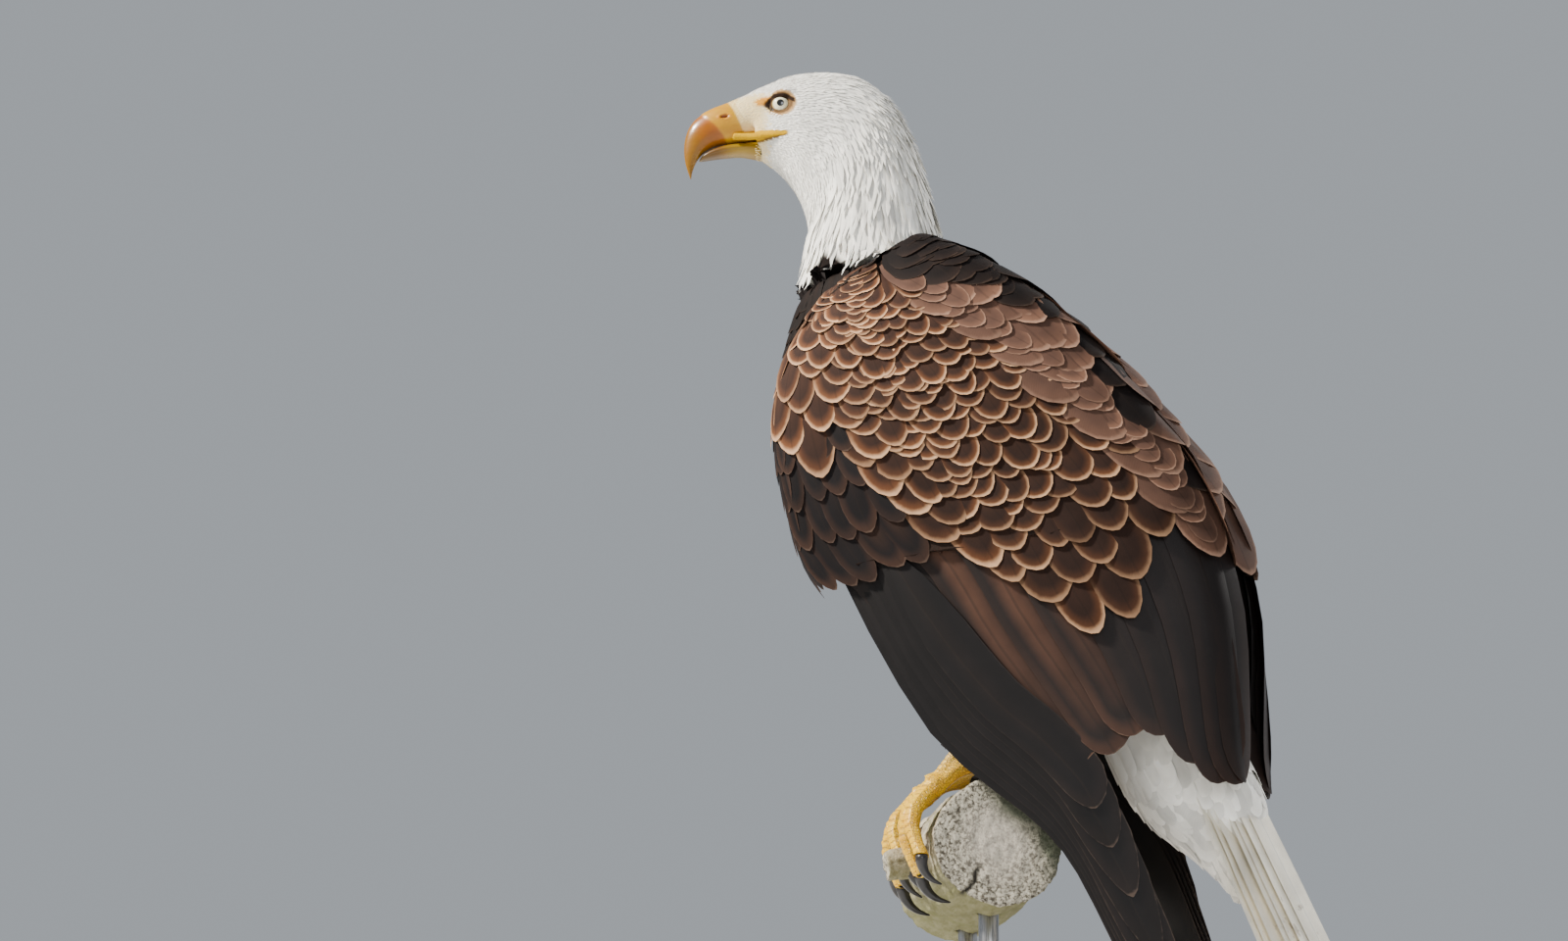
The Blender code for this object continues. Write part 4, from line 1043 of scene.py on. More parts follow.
def make_secondaries(node, mirror):
    """Secondaries and the long inner feathers, with a second layer under the seen one."""
    seen = np.array([7, 13, 19, 25.5, 32.5, 40, 48.5, 58.5, 70, 83])
    layers = []
    for turn, depth, short in ((seen, 0.0, 0.0), (seen[:-1] + 4, 0.0040, 0.50)):
        share = (turn - 5) / 84
        layers.append((3.0 + 0.6 * share, table_at(FLIGHT_TIPS, turn) - short, turn - 2.5,
                       0.0088 - 0.0036 * share + depth, 0.0056 - 0.0026 * share + depth,
                       0.0190 + 0.006 * share))
    first, last, turn, root, tip, width = (np.concatenate(v) for v in zip(*layers))
    count = len(first)
    paths, normals, bend = wing_paths(wing_at, mirror, first, last, turn, np.full(count, 2.5),
                                      root, tip, LONG)
    upper = np.arange(count) < len(seen)
    # Painted sunlight: the seen secondaries between these angles get lighter middles and stronger
    # fringes.
    painted_sunlight = smoothstep(11, 17, turn) * smoothstep(38, 28, turn) * upper
    vanes(node + "secondary_feathers", paths, normals, width, LONG, "flight", "flight_plumage",
          np.zeros((count, LONG.rows)), [node + "secondaries"], camber=0.04, thickness=0.0005,
          roll=0.055 * mirror, fringe=(0.16 + 0.5 * painted_sunlight) * rng.uniform(0.6, 1.3, count) * upper,
          light=0.04 * upper + painted_sunlight * rng.uniform(0.6, 1.1, count),
          tone=rng.uniform(0.3, 0.6, count) * upper,
          places=np.stack([turn, first], 1), balance=-0.25 * mirror, bend=bend)


def make_primaries(node, mirror):
    """Primaries, stacked like a closed fan: the outermost lies deepest and furthest forward."""
    how_many = 8
    number = np.arange(how_many)
    share = (number + 0.5) / how_many
    places = np.stack([share, np.full(how_many, 0.5)], 1)
    reach = 9.65 - 0.88 * np.maximum(number - 1.5, 0.5 * (1.5 - number))
    place = reach[:, None] * BLADE.steps[None]
    keys = along_keys(PRIMARY_KEYS, place)
    low, high = keys[..., :3], keys[..., 3:]
    wide = np.linalg.norm(high - low, axis=-1)
    slot_at = (0.12 + 0.72 * share)[:, None]
    slot_at = slot_at + (0.5 - slot_at) * smoothstep(0.80, 1.0, place / 10)
    paths = low + (high - low) * slot_at[..., None]
    paths = paths - np.array((1.0, 0, 0)) * (0.0070 - 0.0007 * number)[:, None, None]
    normals = unit(np.cross(high - low, np.gradient(paths, axis=1)))
    normals = np.where(normals[..., :1] < 0, -normals, normals)
    flip = np.array((mirror, 1, 1))
    half = np.minimum(0.0165, wide.mean(1) * 0.42)
    vanes(node + "primary_feathers", (paths + BIRD_ORIGIN) * flip, normals * flip, half, BLADE,
          "primary", "flight_plumage", np.zeros((how_many, BLADE.rows)), [node + "primaries"],
          camber=0.05, thickness=0.0006, roll=0.10 * mirror, light=0.5,
          fringe=rng.uniform(0.7, 1.0, how_many), tone=0.35 + 0.3 * (number % 2),
          places=places, balance=-0.2 * mirror)


def make_wing(side, mirror):
    for make in (make_hand, make_coverts, make_shoulder, make_secondaries, make_primaries):
        make(f"wing_{side}_", mirror)


# ---------------------------------------------------------------- tail
def make_tail():
    """Twelve tail feathers in a low tent, seen from above and below."""
    how_many = 12
    share = -1 + 2 * (np.arange(how_many) + 0.5) / how_many
    places = np.stack([share, np.full(how_many, 0.5)], 1)
    share = share + rng.uniform(-0.055, 0.055, how_many)
    t = LONG.steps[None]
    reach = TAIL_LENGTH * (1 - 0.07 * share ** 2) - 0.001 - rng.uniform(0, 0.006, how_many)
    distance = 0.035 + (reach - 0.035)[:, None] * t
    aside = (0.024 + 0.029 * t) * (share * 0.68)[:, None]
    tent = -0.020 * (np.abs(share) ** 1.4)[:, None] * (0.7 + 0.3 * t)
    paths = tail_point(distance, aside, tent + 0.0022 - 0.0036 * np.abs(share)[:, None])
    normals = np.broadcast_to(TAIL_ABOVE, paths.shape)
    vanes("tail_feathers", paths, normals, rng.uniform(0.0160, 0.0190, how_many), LONG, "tail",
          "white_plumage", np.zeros((how_many, LONG.rows)), ["tail"], camber=0.04,
          thickness=0.0006, roll=-0.07 * np.sign(share) * rng.uniform(0.3, 1.6, how_many),
          fringe=rng.uniform(0.2, 0.9, how_many), light=rng.uniform(0.1, 1.0, how_many),
          tone=rng.uniform(0.35, 0.8, how_many), places=places,
          balance=0.115 * np.sign(share), ragged=0.02)


# ---------------------------------------------------------------- skin
LORE_TINT = (0.78, 0.60, 0.28)
# The feathered slope between forehead and bill: forward and up at its top, the same at its bottom,
# half width.
LORE_KEYS = [(0.0440, 0.0268, 0.0440, -0.0060, 0.0190), (0.0550, 0.0256, 0.0530, -0.0084, 0.0210),
             (0.0650, 0.0206, 0.0590, -0.0092, 0.0178), (0.0735, 0.0163, 0.0645, -0.0094, 0.0150),
             (0.0805, 0.0137, 0.0690, -0.0092, 0.0129)]


def lore_grid(count=24):
    rows = along_keys(LORE_KEYS, np.linspace(0, len(LORE_KEYS) - 1, count))
    return oval_rings(head_point(rows[:, 0], rows[:, 1]), head_point(rows[:, 2], rows[:, 3]),
                      ASIDE, rows[:, 4] * HEAD_SCALE, 0.90)[::-1]


def lore_end(up):
    """How far forward the feathered slope reaches at a height."""
    return np.interp(up, [-0.0092, -0.0030, 0.0060, 0.0137], [0.0690, 0.0716, 0.0760, 0.0805])


# The yellow corner of the mouth: forward, up, half height, left.
GAPE = np.array([(0.0760, -0.0138, 0.0040, 0.0112), (0.0636, -0.0150, 0.0040, 0.0150),
                 (0.0550, -0.0158, 0.0035, 0.0198), (0.0450, -0.0163, 0.0027, 0.0240),
                 (0.0365, -0.0166, 0.0014, 0.0268)])
EYE_WIDE, EYE_HIGH, EYE_DROP = 0.0070, 0.0052, 0.0004
# The hard edge of the brow over the eye, as seen from the side: ahead of and above its centre.
BROW_LINE = np.array([(-0.0098, 0.0012), (-0.0064, 0.0034), (-0.0022, 0.0050), (0.0028, 0.0057),
                      (0.0062, 0.0048), (0.0090, 0.0024)])


def under_brow(ahead, above):
    """How far a place lies under the brow's edge."""
    return np.interp(ahead, BROW_LINE[:, 0], BROW_LINE[:, 1]) - above


def gape_at(forward):
    """Middle height and half height of the yellow corner of the mouth."""
    order = np.argsort(GAPE[:, 0])
    return (np.interp(forward, GAPE[order, 0], GAPE[order, 1]),
            np.interp(forward, GAPE[order, 0], GAPE[order, 2]))


def eye_centre(mirror):
    return head_point(EYE_FORWARD, EYE_UP, EYE_OUT * mirror)


def eye_axes(mirror):
    """Where an eye looks, and the level and rising directions across it."""
    gaze = unit(ASIDE * mirror * math.cos(0.07) + AHEAD * math.sin(0.07) - UP * 0.03)
    level = unit(np.cross(UP, gaze))
    return gaze, level, np.cross(gaze, level)


def head_form(obj):
    """Lores, brow ridges, lids and the corners of the mouth, added before the head is fused."""
    add_loft(obj, lore_grid())
    for mirror in (1, -1):
        brow = head_point([0.067, 0.0600, 0.0530, 0.0475, 0.0420, 0.0360, 0.0300, 0.0240],
                          [0.0030, 0.0070, 0.0106, 0.0128, 0.0142, 0.0145, 0.0134, 0.0110],
                          np.array([0.0120, 0.0160, 0.0198, 0.0226, 0.0246, 0.0258, 0.0266, 0.0272])
                          * mirror)
        add_loft(obj, tube(brow, [0.0012, 0.0024, 0.0032, 0.0037, 0.0039, 0.0036, 0.0028, 0.0014]))
        turn = np.linspace(0, 2 * math.pi, 25)
        gaze, level, rise = eye_axes(mirror)
        centre = eye_centre(mirror)
        flat = (level * (EYE_WIDE * np.cos(turn))[:, None]
                + rise * (EYE_HIGH * np.sin(turn))[:, None])
        off = np.sqrt(EYE_RADIUS ** 2 - (flat ** 2).sum(1))
        lid = centre + flat + gaze * (off + 0.0001)[:, None] - rise * EYE_DROP
        add_loft(obj, tube(lid, np.full(25, 0.00115), 8))
        ahead, above = BROW_LINE.T
        off = np.sqrt(np.maximum(EYE_RADIUS ** 2 - ahead ** 2 - above ** 2, 1e-5))
        edge = (centre - level * (ahead * mirror)[:, None] + rise * above[:, None]
                + gaze * (off + 0.0005)[:, None])
        add_loft(obj, tube(edge, [0.0007, 0.0013, 0.0016, 0.0016, 0.0014, 0.0009], 8))
        gape = head_point(GAPE[:, 0], GAPE[:, 1] - 0.2 * GAPE[:, 2], GAPE[:, 3] * mirror)
        add_loft(obj, tube(gape, GAPE[:, 2] * 0.72))


def sink(obj, depth):
    """Moves the skin in by the coat's depth."""
    mesh = obj.data
    rows = vertices_of(mesh)
    put_vertices(mesh, rows - vertex_normals(mesh) * depth(rows)[:, None])


def make_head_skin():
    head = remeshed(merged_nodes("head_skin", ["head", "neck"]), NECK_VOXEL)
    smoothed(head.data, 6)

    def depth(rows):
        forward, up, _ = head_place(rows)
        back = smoothstep(0.045, -0.045, forward)
        return 0.0012 + 0.0009 * back + 0.0016 * smoothstep(0.0, -0.09, up)

    sink(head, depth)
    head_form(head)
    remeshed(head, HEAD_VOXEL)
    smoothed(head.data, 3, 0.4)
    forward, up, _ = head_place(vertices_of(head.data))
    beside = smoothstep(0.0100, 0.0125, np.hypot(forward - EYE_FORWARD, (up - EYE_UP) * 1.05))
    slope = smoothstep(0.0400, 0.0480, forward) * smoothstep(-0.0096, -0.0070, up)
    smoothed(head.data, 60, share=slope * beside)
    rows = vertices_of(head.data)
    for mirror in (1, -1):
        # The lids' opening: the skin inside it lies behind the eyeball's surface.
        gaze, level, rise = eye_axes(mirror)
        off = rows - eye_centre(mirror)
        out, x, y = off @ gaze, off @ level, off @ rise
        inside = smoothstep(1.0, 0.72, np.hypot(x / EYE_WIDE, (y + EYE_DROP) / EYE_HIGH))
        inside *= (out > 0) * smoothstep(0.0006, 0.0014, under_brow(-x * mirror, y))
        behind = np.sqrt(np.maximum(EYE_RADIUS ** 2 - x ** 2 - y ** 2, 0)) - 0.0012
        rows += gaze * (inside * np.minimum(behind - out, 0))[:, None]
    put_vertices(head.data, rows)
    return head


def head_tint(rows):
    """White plumage, bare skin round the eye, dark lids, painted shade under the brow and before
    the eye, yellow mouth corner.
    """
    forward, up, _ = head_place(rows)
    paint = Paint(len(rows), (0.76, 0.74, 0.68))
    lay = paint.lay
    lay(smoothstep(0.046, 0.058, forward) * smoothstep(0.022, 0.012, up) * 0.8, LORE_TINT)
    ahead, above = forward - EYE_FORWARD, up - EYE_UP
    far = np.hypot(ahead, above * 1.08)
    lay(smoothstep(0.0124, 0.0100, far) * 0.9, (0.50, 0.27, 0.08))
    lay(smoothstep(1.0, 0.45, np.hypot((forward - 0.0545) / 0.0088, (up - 0.0088) / 0.0045)),
        (0.62, 0.27, 0.03))
    # Painted shade in front of the eye, over the dark skin of its front corner.
    lay(smoothstep(1.0, 0.5, np.hypot((forward - 0.0500) / 0.0048, (up - 0.0062) / 0.0040)),
        (0.05, 0.03, 0.02))
    lay(smoothstep(0.0094, 0.0080, far) * 0.9, (0.10, 0.055, 0.025))
    # Painted shadow of the brow: a dark line under its edge.
    lay(smoothstep(0.0024, 0.0014, np.abs(under_brow(ahead, above)))
        * smoothstep(0.0108, 0.0094, np.abs(ahead)), (0.026, 0.015, 0.010))
    lay(smoothstep(0.008, 0.0, rows[:, 2] - collar(rows)), (0.010, 0.007, 0.006))
    line, half = gape_at(forward)
    inside = smoothstep(0.0352, 0.0372, forward)
    lay(smoothstep(1.12, 0.92, np.abs(up - line) / half) * inside, (0.54, 0.305, 0.0))
    lay(smoothstep(0.0010, 0.0004, np.abs(up - line + half * 1.02)) * inside * (forward < 0.075),
        (0.16, 0.09, 0.02))
    return paint.colour


def body_tint(rows):
    """Dark plumage, white round the tail's root."""
    paint = Paint(len(rows), (0.022, 0.014, 0.011))
    along = (rows - TAIL_ROOT) @ TAIL_ALONG
    paint.lay(smoothstep(0.012, 0.025, along) * (np.abs(rows[:, 0]) < 0.07), (0.66, 0.63, 0.55))
    return paint.colour


def foot_tint(rows):
    """Yellow toes and a duller shank."""
    shank = np.full(len(rows), 1.0)
    for side, mirror in SIDES:
        ankle = leg_points(side, mirror)[3]
        near = (rows[:, 0] > 0) == (side == "left")
        shank[near] = smoothstep(0.004, 0.030, rows[near, 2] - ankle[2])
    paint = Paint(len(rows), (0.74, 0.44, 0.008))
    paint.lay(shank * 0.85, (0.42, 0.32, 0.13))
    return paint.colour


# Length of a plate on the toes, and the length that the map of plates counts in.
PLATE_LENGTH, PLATE_SPAN = 0.0042, 0.1


def shape_feet(obj):
    """Rows of broad plates along the tops of toes and shank, as a map and as slight relief."""
    rows, normals = vertices_of(obj.data), vertex_normals(obj.data)
    best = np.full(len(rows), 9.0)
    run = np.zeros(len(rows))
    inward = np.zeros_like(rows)
    for side, mirror in SIDES:
        _, _, hock, ankle = leg_points(side, mirror)
        lines = [(toe_line(side, mirror, toe), 0.07) for toe in TOES]
        lines.append((hock + (ankle - hock) * np.linspace(0, 0.85, 40)[:, None], 0.48))
        for line, slimmer in lines:
            gone = np.concatenate([[0], np.cumsum(np.linalg.norm(np.diff(line, axis=0), axis=1))])
            for spot, distance in zip(line, gone):
                far = ((rows - spot) ** 2).sum(1)
                closer = far < best
                best[closer], run[closer] = far[closer], distance
                inward[closer] = (spot - rows[closer]) * slimmer
    off = rows - PERCH_CENTRE
    out = unit(off - PERCH_AXIS * (off @ PERCH_AXIS)[:, None])
    top = smoothstep(0.25, 0.65, (normals * out).sum(1))
    colour = np.ones((len(rows), 4), dtype=np.float32)
    colour[:, 0], colour[:, 1] = run / PLATE_SPAN, top
    put_colours(obj.data, "plates", colour)
    groove = np.abs(np.sin(run * math.pi / PLATE_LENGTH)) ** 0.5
    links = edge_rows(obj.data)
    for _ in range(12):
        total, near = np.zeros_like(inward), np.zeros(len(rows))
        for a, b in ((0, 1), (1, 0)):
            np.add.at(total, links[:, a], inward[links[:, b]])
            np.add.at(near, links[:, a], 1)
        inward = 0.5 * inward + 0.5 * total / near[:, None]
    put_vertices(obj.data, rows + inward + normals * (top * (groove - 1) * 0.00045)[:, None])


def skin_materials():
    made, tree, shader = new_material("skin_look", 0.9, 0.06, subsurface=0.05)
    fine = tree.noise(900.0, 3.0)
    colour = tree.mix(tree.band(fine, 0.3, 0.7, 0.0, 0.22), tree.attribute("tint"),
                      (0.10, 0.06, 0.03), "MULTIPLY")
    finish_material(tree, shader, colour, fine, 0.0004, 0.6)
    foot, tree, shader = new_material("foot_look", 0.42, 0.45, coat=0.05, subsurface=0.1)
    run, top, _ = tree.split(tree.attribute("plates"), "Color")
    cells = tree.add("ShaderNodeTexVoronoi", {"feature": "DISTANCE_TO_EDGE"}, Scale=520.0,
                     Vector=tree.coordinates())
    small = tree.band(cells.outputs["Distance"], 0.0, 0.14)
    wave = tree.maths("SINE", tree.maths("MULTIPLY", run, PLATE_SPAN * math.pi / PLATE_LENGTH))
    broad = tree.band(tree.maths("ABSOLUTE", wave), 0.0, 0.45)
    groove = tree.mix(top, small, broad)
    blotch = tree.noise(70.0, 3.0)
    colour = tree.mix(tree.band(blotch, 0.35, 0.7, 0.0, 0.5), tree.attribute("tint"),
                      (0.80, 0.62, 0.40), "MULTIPLY")
    colour = tree.mix(tree.band(groove, 0.0, 1.0, 0.6, 0.0), colour, (0.22, 0.11, 0.02))
    finish_material(tree, shader, colour, groove, 0.0006, 0.8)
    return made, foot


BODY_NODES = ["trunk", "tail_coverts"] + [
    n for s, _ in SIDES for n in (f"wing_{s}_coverts", f"wing_{s}_scapulars", f"leg_{s}_thigh")]
FOOT_NODES = [f"leg_{s}_foot" for s, _ in SIDES]


def make_skin():
    """One skin of head, body and feet. Gives the surfaces that feathers follow."""
    body = remeshed(merged_nodes("skin", BODY_NODES), BODY_VOXEL)
    smoothed(body.data, 5)
    body_ground = ground_of(body)
    head = make_head_skin()
    neck_ground = ground_of(head, body)
    sink(body, lambda rows: np.full(len(rows), COAT_DEPTH))
    face_ground = ground_of(head, *make_bill())
    feet = remeshed(merged_nodes("feet", FOOT_NODES, 0.0), FOOT_VOXEL)
    smoothed(feet.data, 4, 0.4)
    shape_feet(feet)
    for obj, tint in ((body, body_tint), (head, head_tint), (feet, foot_tint)):
        put_colours(obj.data, "tint", tint(vertices_of(obj.data)))
    plain, foot = skin_materials()
    for obj in (body, head):
        obj.data.materials.append(plain)
    feet.data.materials.append(foot)
    make_active(body)
    head.select_set(True)
    feet.select_set(True)
    bpy.ops.object.join()
    whole = ground_of(body)
    piece(body, "dark_plumage", "head", "neck", *FOOT_NODES, *BODY_NODES)
    return body_ground, neck_ground, whole, face_ground


# ---------------------------------------------------------------- small feathers of head and body
def collar(points):
    """The height where the white hackles end, which is ragged and lowest at the sides."""
    y = points[:, 1] - BIRD_ORIGIN[1]
    edge = np.interp(y, [-0.145, -0.125, -0.111, -0.098, -0.087, -0.078, -0.070, -0.055, -0.038,
                         -0.030],
                     [0.452, 0.440, 0.459, 0.453, 0.442, 0.445, 0.453, 0.452, 0.462, 0.474])
    return edge + BIRD_ORIGIN[2]


def face_clear(spots):
    """Leaves the eyes, the corners of the mouth and the bill bare."""
    forward, up, _ = head_place(spots)
    eye = np.hypot(forward - EYE_FORWARD, (up - EYE_UP) * 1.05) > 0.0100
    front = np.hypot((forward - 0.0525) / 0.0075, (up - 0.0075) / 0.0040) > 1.0
    line, half = gape_at(forward)
    mouth = (np.abs(up - line) > half * 1.05) | (forward < 0.0355)
    lores = (forward < lore_end(up) - 0.0004) & (up > -0.0100)
    return eye & front & mouth & ((forward < 0.0625) | lores)


def make_face(ground):
    """Face and crown, tiny and sleek, some of them creamy before the eye."""
    def spacing(points):
        return 0.0014 + 0.0015 * smoothstep(0.045, -0.02, head_place(points)[0])

    roots, places = spread(ground, head_grid(-0.9, 7.2), spacing, 0.012, FACE_TRIES, face_clear)
    more, spots = spread(ground, lore_grid(), spacing, 0.004, 6000,
                         lambda points: face_clear(points) & (head_place(points)[0] > 0.063))
    roots, places = np.concatenate([roots, more]), np.concatenate([places, spots])
    count = len(roots)
    forward, up, _ = head_place(roots)
    back = smoothstep(0.050, -0.035, forward)
    loral = smoothstep(0.046, 0.056, forward) * smoothstep(0.018, 0.012, up)
    length = (0.0032 + 0.0115 * back) * rng.uniform(0.85, 1.2, count) * (1 - 0.25 * loral)
    paths, normals = walk(ground, roots, flow_of(head_grid(0, 12)), length, SHORT_LANCE)
    half = (0.00066 + 0.00125 * back) * rng.uniform(0.85, 1.2, count) * (1 - 0.45 * loral)
    lift = roof_lift(count, SHORT_LANCE, -0.0002, 0.0010, 0.4) * (0.5 + 0.8 * back)[:, None]
    creamy = loral > rng.uniform(0.1, 0.9, count)
    for name, where, finish in (("face_feathers", ~creamy, "white"),
                                ("lore_feathers", creamy, "lore")):
        count = int(where.sum())
        vanes(name, paths[where], normals[where], half[where], SHORT_LANCE, finish,
              "white_plumage", lift[where], columns=3, camber=0.15, thickness=0.00012,
              roll=rng.normal(0, 0.10, count), tone=rng.uniform(0.4, 0.75, count),
              places=places[where])


def make_hackles(ground):
    """Nape and neck, long and pointed."""
    def spacing(points):
        return 0.0029 + 0.0022 * smoothstep(0.0, -0.10, head_place(points)[1])

    roots, places = spread(ground, head_grid(5.6, 12), spacing, 0.012, NECK_TRIES)
    down = smoothstep(0.01, -0.10, head_place(roots)[1])
    length = (0.014 + 0.024 * down) * rng.uniform(0.85, 1.2, len(roots))
    ways = walk(ground, roots, flow_of(head_grid(0, 12)), length, LANCE)
    ends = ways[0][:, -1]
    good = ends[:, 2] > collar(ends) - rng.uniform(0, 0.010, len(roots))
    half = (0.0016 + 0.0023 * down[good]) * rng.uniform(0.8, 1.15, good.sum())
    coat("neck_hackles", (way[good] for way in ways), places[good], half, LANCE, "white",
         "white_plumage", (-0.0003, 0.0030, 0.5, 1.4), 0.20, (0.3, 0.8), columns=3, camber=0.20,
         thickness=0.00016)


def make_collar(ground):
    """Dark collar under and below the hackles."""
    roots, places = spread(ground, head_grid(8.6, 12, 60), 0.0066, 0.012, 12000)
    good = roots[:, 2] < collar(roots) + 0.003
    roots, places = roots[good], places[good]
    ways = walk(ground, roots, flow_of(head_grid(0, 12), trunk_grid()),
                rng.uniform(0.026, 0.034, len(roots)), SOFT)
    # Their near-black finish and low tone are partly the dark plumage and partly painted shade
    # under the hackles.
    coat("collar_feathers", ways, places, rng.uniform(0.0050, 0.0064, len(roots)), SOFT, "mantle",
         "dark_plumage", (-0.0010, 0.0008, 0.5), 0.06, (0.15, 0.5), camber=0.14, fringe=0.25,
         light=0.2)


def make_body_feathers(ground):
    """Dark feathers of back and breast."""
    def spacing(points):
        return 0.0072 + 0.0036 * smoothstep(0.72, 0.45, points[:, 2])

    grid = trunk_grid()
    roots, places = spread(ground, grid, spacing, 0.005, 26000)
    size = spacing(roots)
    back = smoothstep(0.0, 0.03, roots[:, 1] + 0.62 * (roots[:, 2] - 0.62) + 0.03)
    length = size * 3.6 * rng.uniform(0.9, 1.12, len(roots))
    paths, normals = walk(ground, roots, flow_of(grid), length, SOFT)
    along_tail = (paths[:, -1] - TAIL_ROOT) @ TAIL_ALONG
    good = (roots[:, 2] < collar(roots) + 0.03) & (along_tail < 0.020)
    roots, places, size, back, paths, normals = (v[good] for v in
                                                 (roots, places, size, back, paths, normals))
    half = size * 0.92 * rng.uniform(0.9, 1.1, len(roots))
    # Painted shade: feathers near the top, under the hackles, get a lower tone and weaker fringes.
    dark = smoothstep(0.66, 0.72, roots[:, 2])
    for name, where, finish in (("back_feathers", back > 0.5, "mantle"),
                                ("breast_feathers", back <= 0.5, "breast")):
        count = int(where.sum())
        vanes(name, paths[where], normals[where], half[where], SOFT, finish, "dark_plumage",
              roof_lift(count, SOFT, -0.0022, -0.0002, 0.3), camber=0.13,
              roll=rng.normal(0, 0.06, count), light=0.5, places=places[where],
              fringe=rng.uniform(0.3, 0.8, count) * (1 - 0.6 * dark[where]),
              tone=rng.uniform(0.3, 0.7, count) - 0.25 * dark[where])


def make_thigh(ground, side, mirror):
    def spacing(points):
        return 0.0042 + 0.0034 * smoothstep(0.36, 0.44, points[:, 2])

    grid = thigh_grid(side, mirror)
    roots, places = spread(ground, grid, spacing, 0.006, 9000)
    size = spacing(roots)
    ways = walk(ground, roots, flow_of(grid), size * 3.9 * rng.uniform(0.9, 1.15, len(roots)), SOFT)
    coat(f"thigh_{side}_feathers", ways, places, size * 0.84, SOFT, "breast", "dark_plumage",
         (-0.0020, 0.0004, 0.6), 0.10, columns=3, camber=0.16, fringe=0.5, light=0.4)


def make_tail_coverts(ground):
    """White coverts round the tail's root."""
    grid = tail_covert_grid()
    roots, places = spread(ground, grid, 0.0068, 0.010, 14000)
    count = len(roots)
    ways = walk(ground, roots, flow_of(grid), rng.uniform(0.034, 0.048, count), SOFT)
    coat("tail_covert_feathers", ways, places, rng.uniform(0.0060, 0.0078, count), SOFT, "white",
         "white_plumage", (-0.0020, 0.0012, 0.6), 0.12, camber=0.20, ragged=0.08)


# ---------------------------------------------------------------- bill and eyes
# A bill's row: forward and up at its top, the same at its bottom, half width.
UPPER_BILL_KEYS = [
    (0.0540, 0.0228, 0.0530, -0.0150, 0.0120), (0.0640, 0.0205, 0.0625, -0.0155, 0.0126),
    (0.0720, 0.0168, 0.0710, -0.0160, 0.0127), (0.0830, 0.0124, 0.0810, -0.0172, 0.0122),
    (0.0912, 0.0092, 0.0900, -0.0196, 0.0112), (0.0990, 0.0050, 0.0968, -0.0232, 0.0098),
    (0.1058, -0.0008, 0.1008, -0.0272, 0.0081), (0.1102, -0.0088, 0.1033, -0.0310, 0.0062),
    (0.1121, -0.0192, 0.1048, -0.0345, 0.0044), (0.1112, -0.0312, 0.1062, -0.0390, 0.0026),
    (0.1075, -0.0430, 0.1068, -0.0434, 0.0007),
]
LOWER_BILL_KEYS = [
    (0.0570, -0.0160, 0.0560, -0.0286, 0.0112), (0.0700, -0.0172, 0.0700, -0.0260, 0.0103),
    (0.0815, -0.0184, 0.0810, -0.0268, 0.0092), (0.0905, -0.0210, 0.0915, -0.0283, 0.0074),
    (0.0965, -0.0244, 0.0985, -0.0297, 0.0050), (0.1002, -0.0284, 0.1008, -0.0300, 0.0016),
]


def bill_half(name, keys, count, fullness, sides=96):
    rows = along_keys(keys, np.linspace(0, len(keys) - 1, count))
    rings = oval_rings(head_point(rows[:, 0], rows[:, 1]), head_point(rows[:, 2], rows[:, 3]),
                       ASIDE, rows[:, 4] * HEAD_SCALE, fullness, sides)
    obj = link_mesh(name, bpy.data.meshes.new(name))
    add_loft(obj, rings)
    return obj


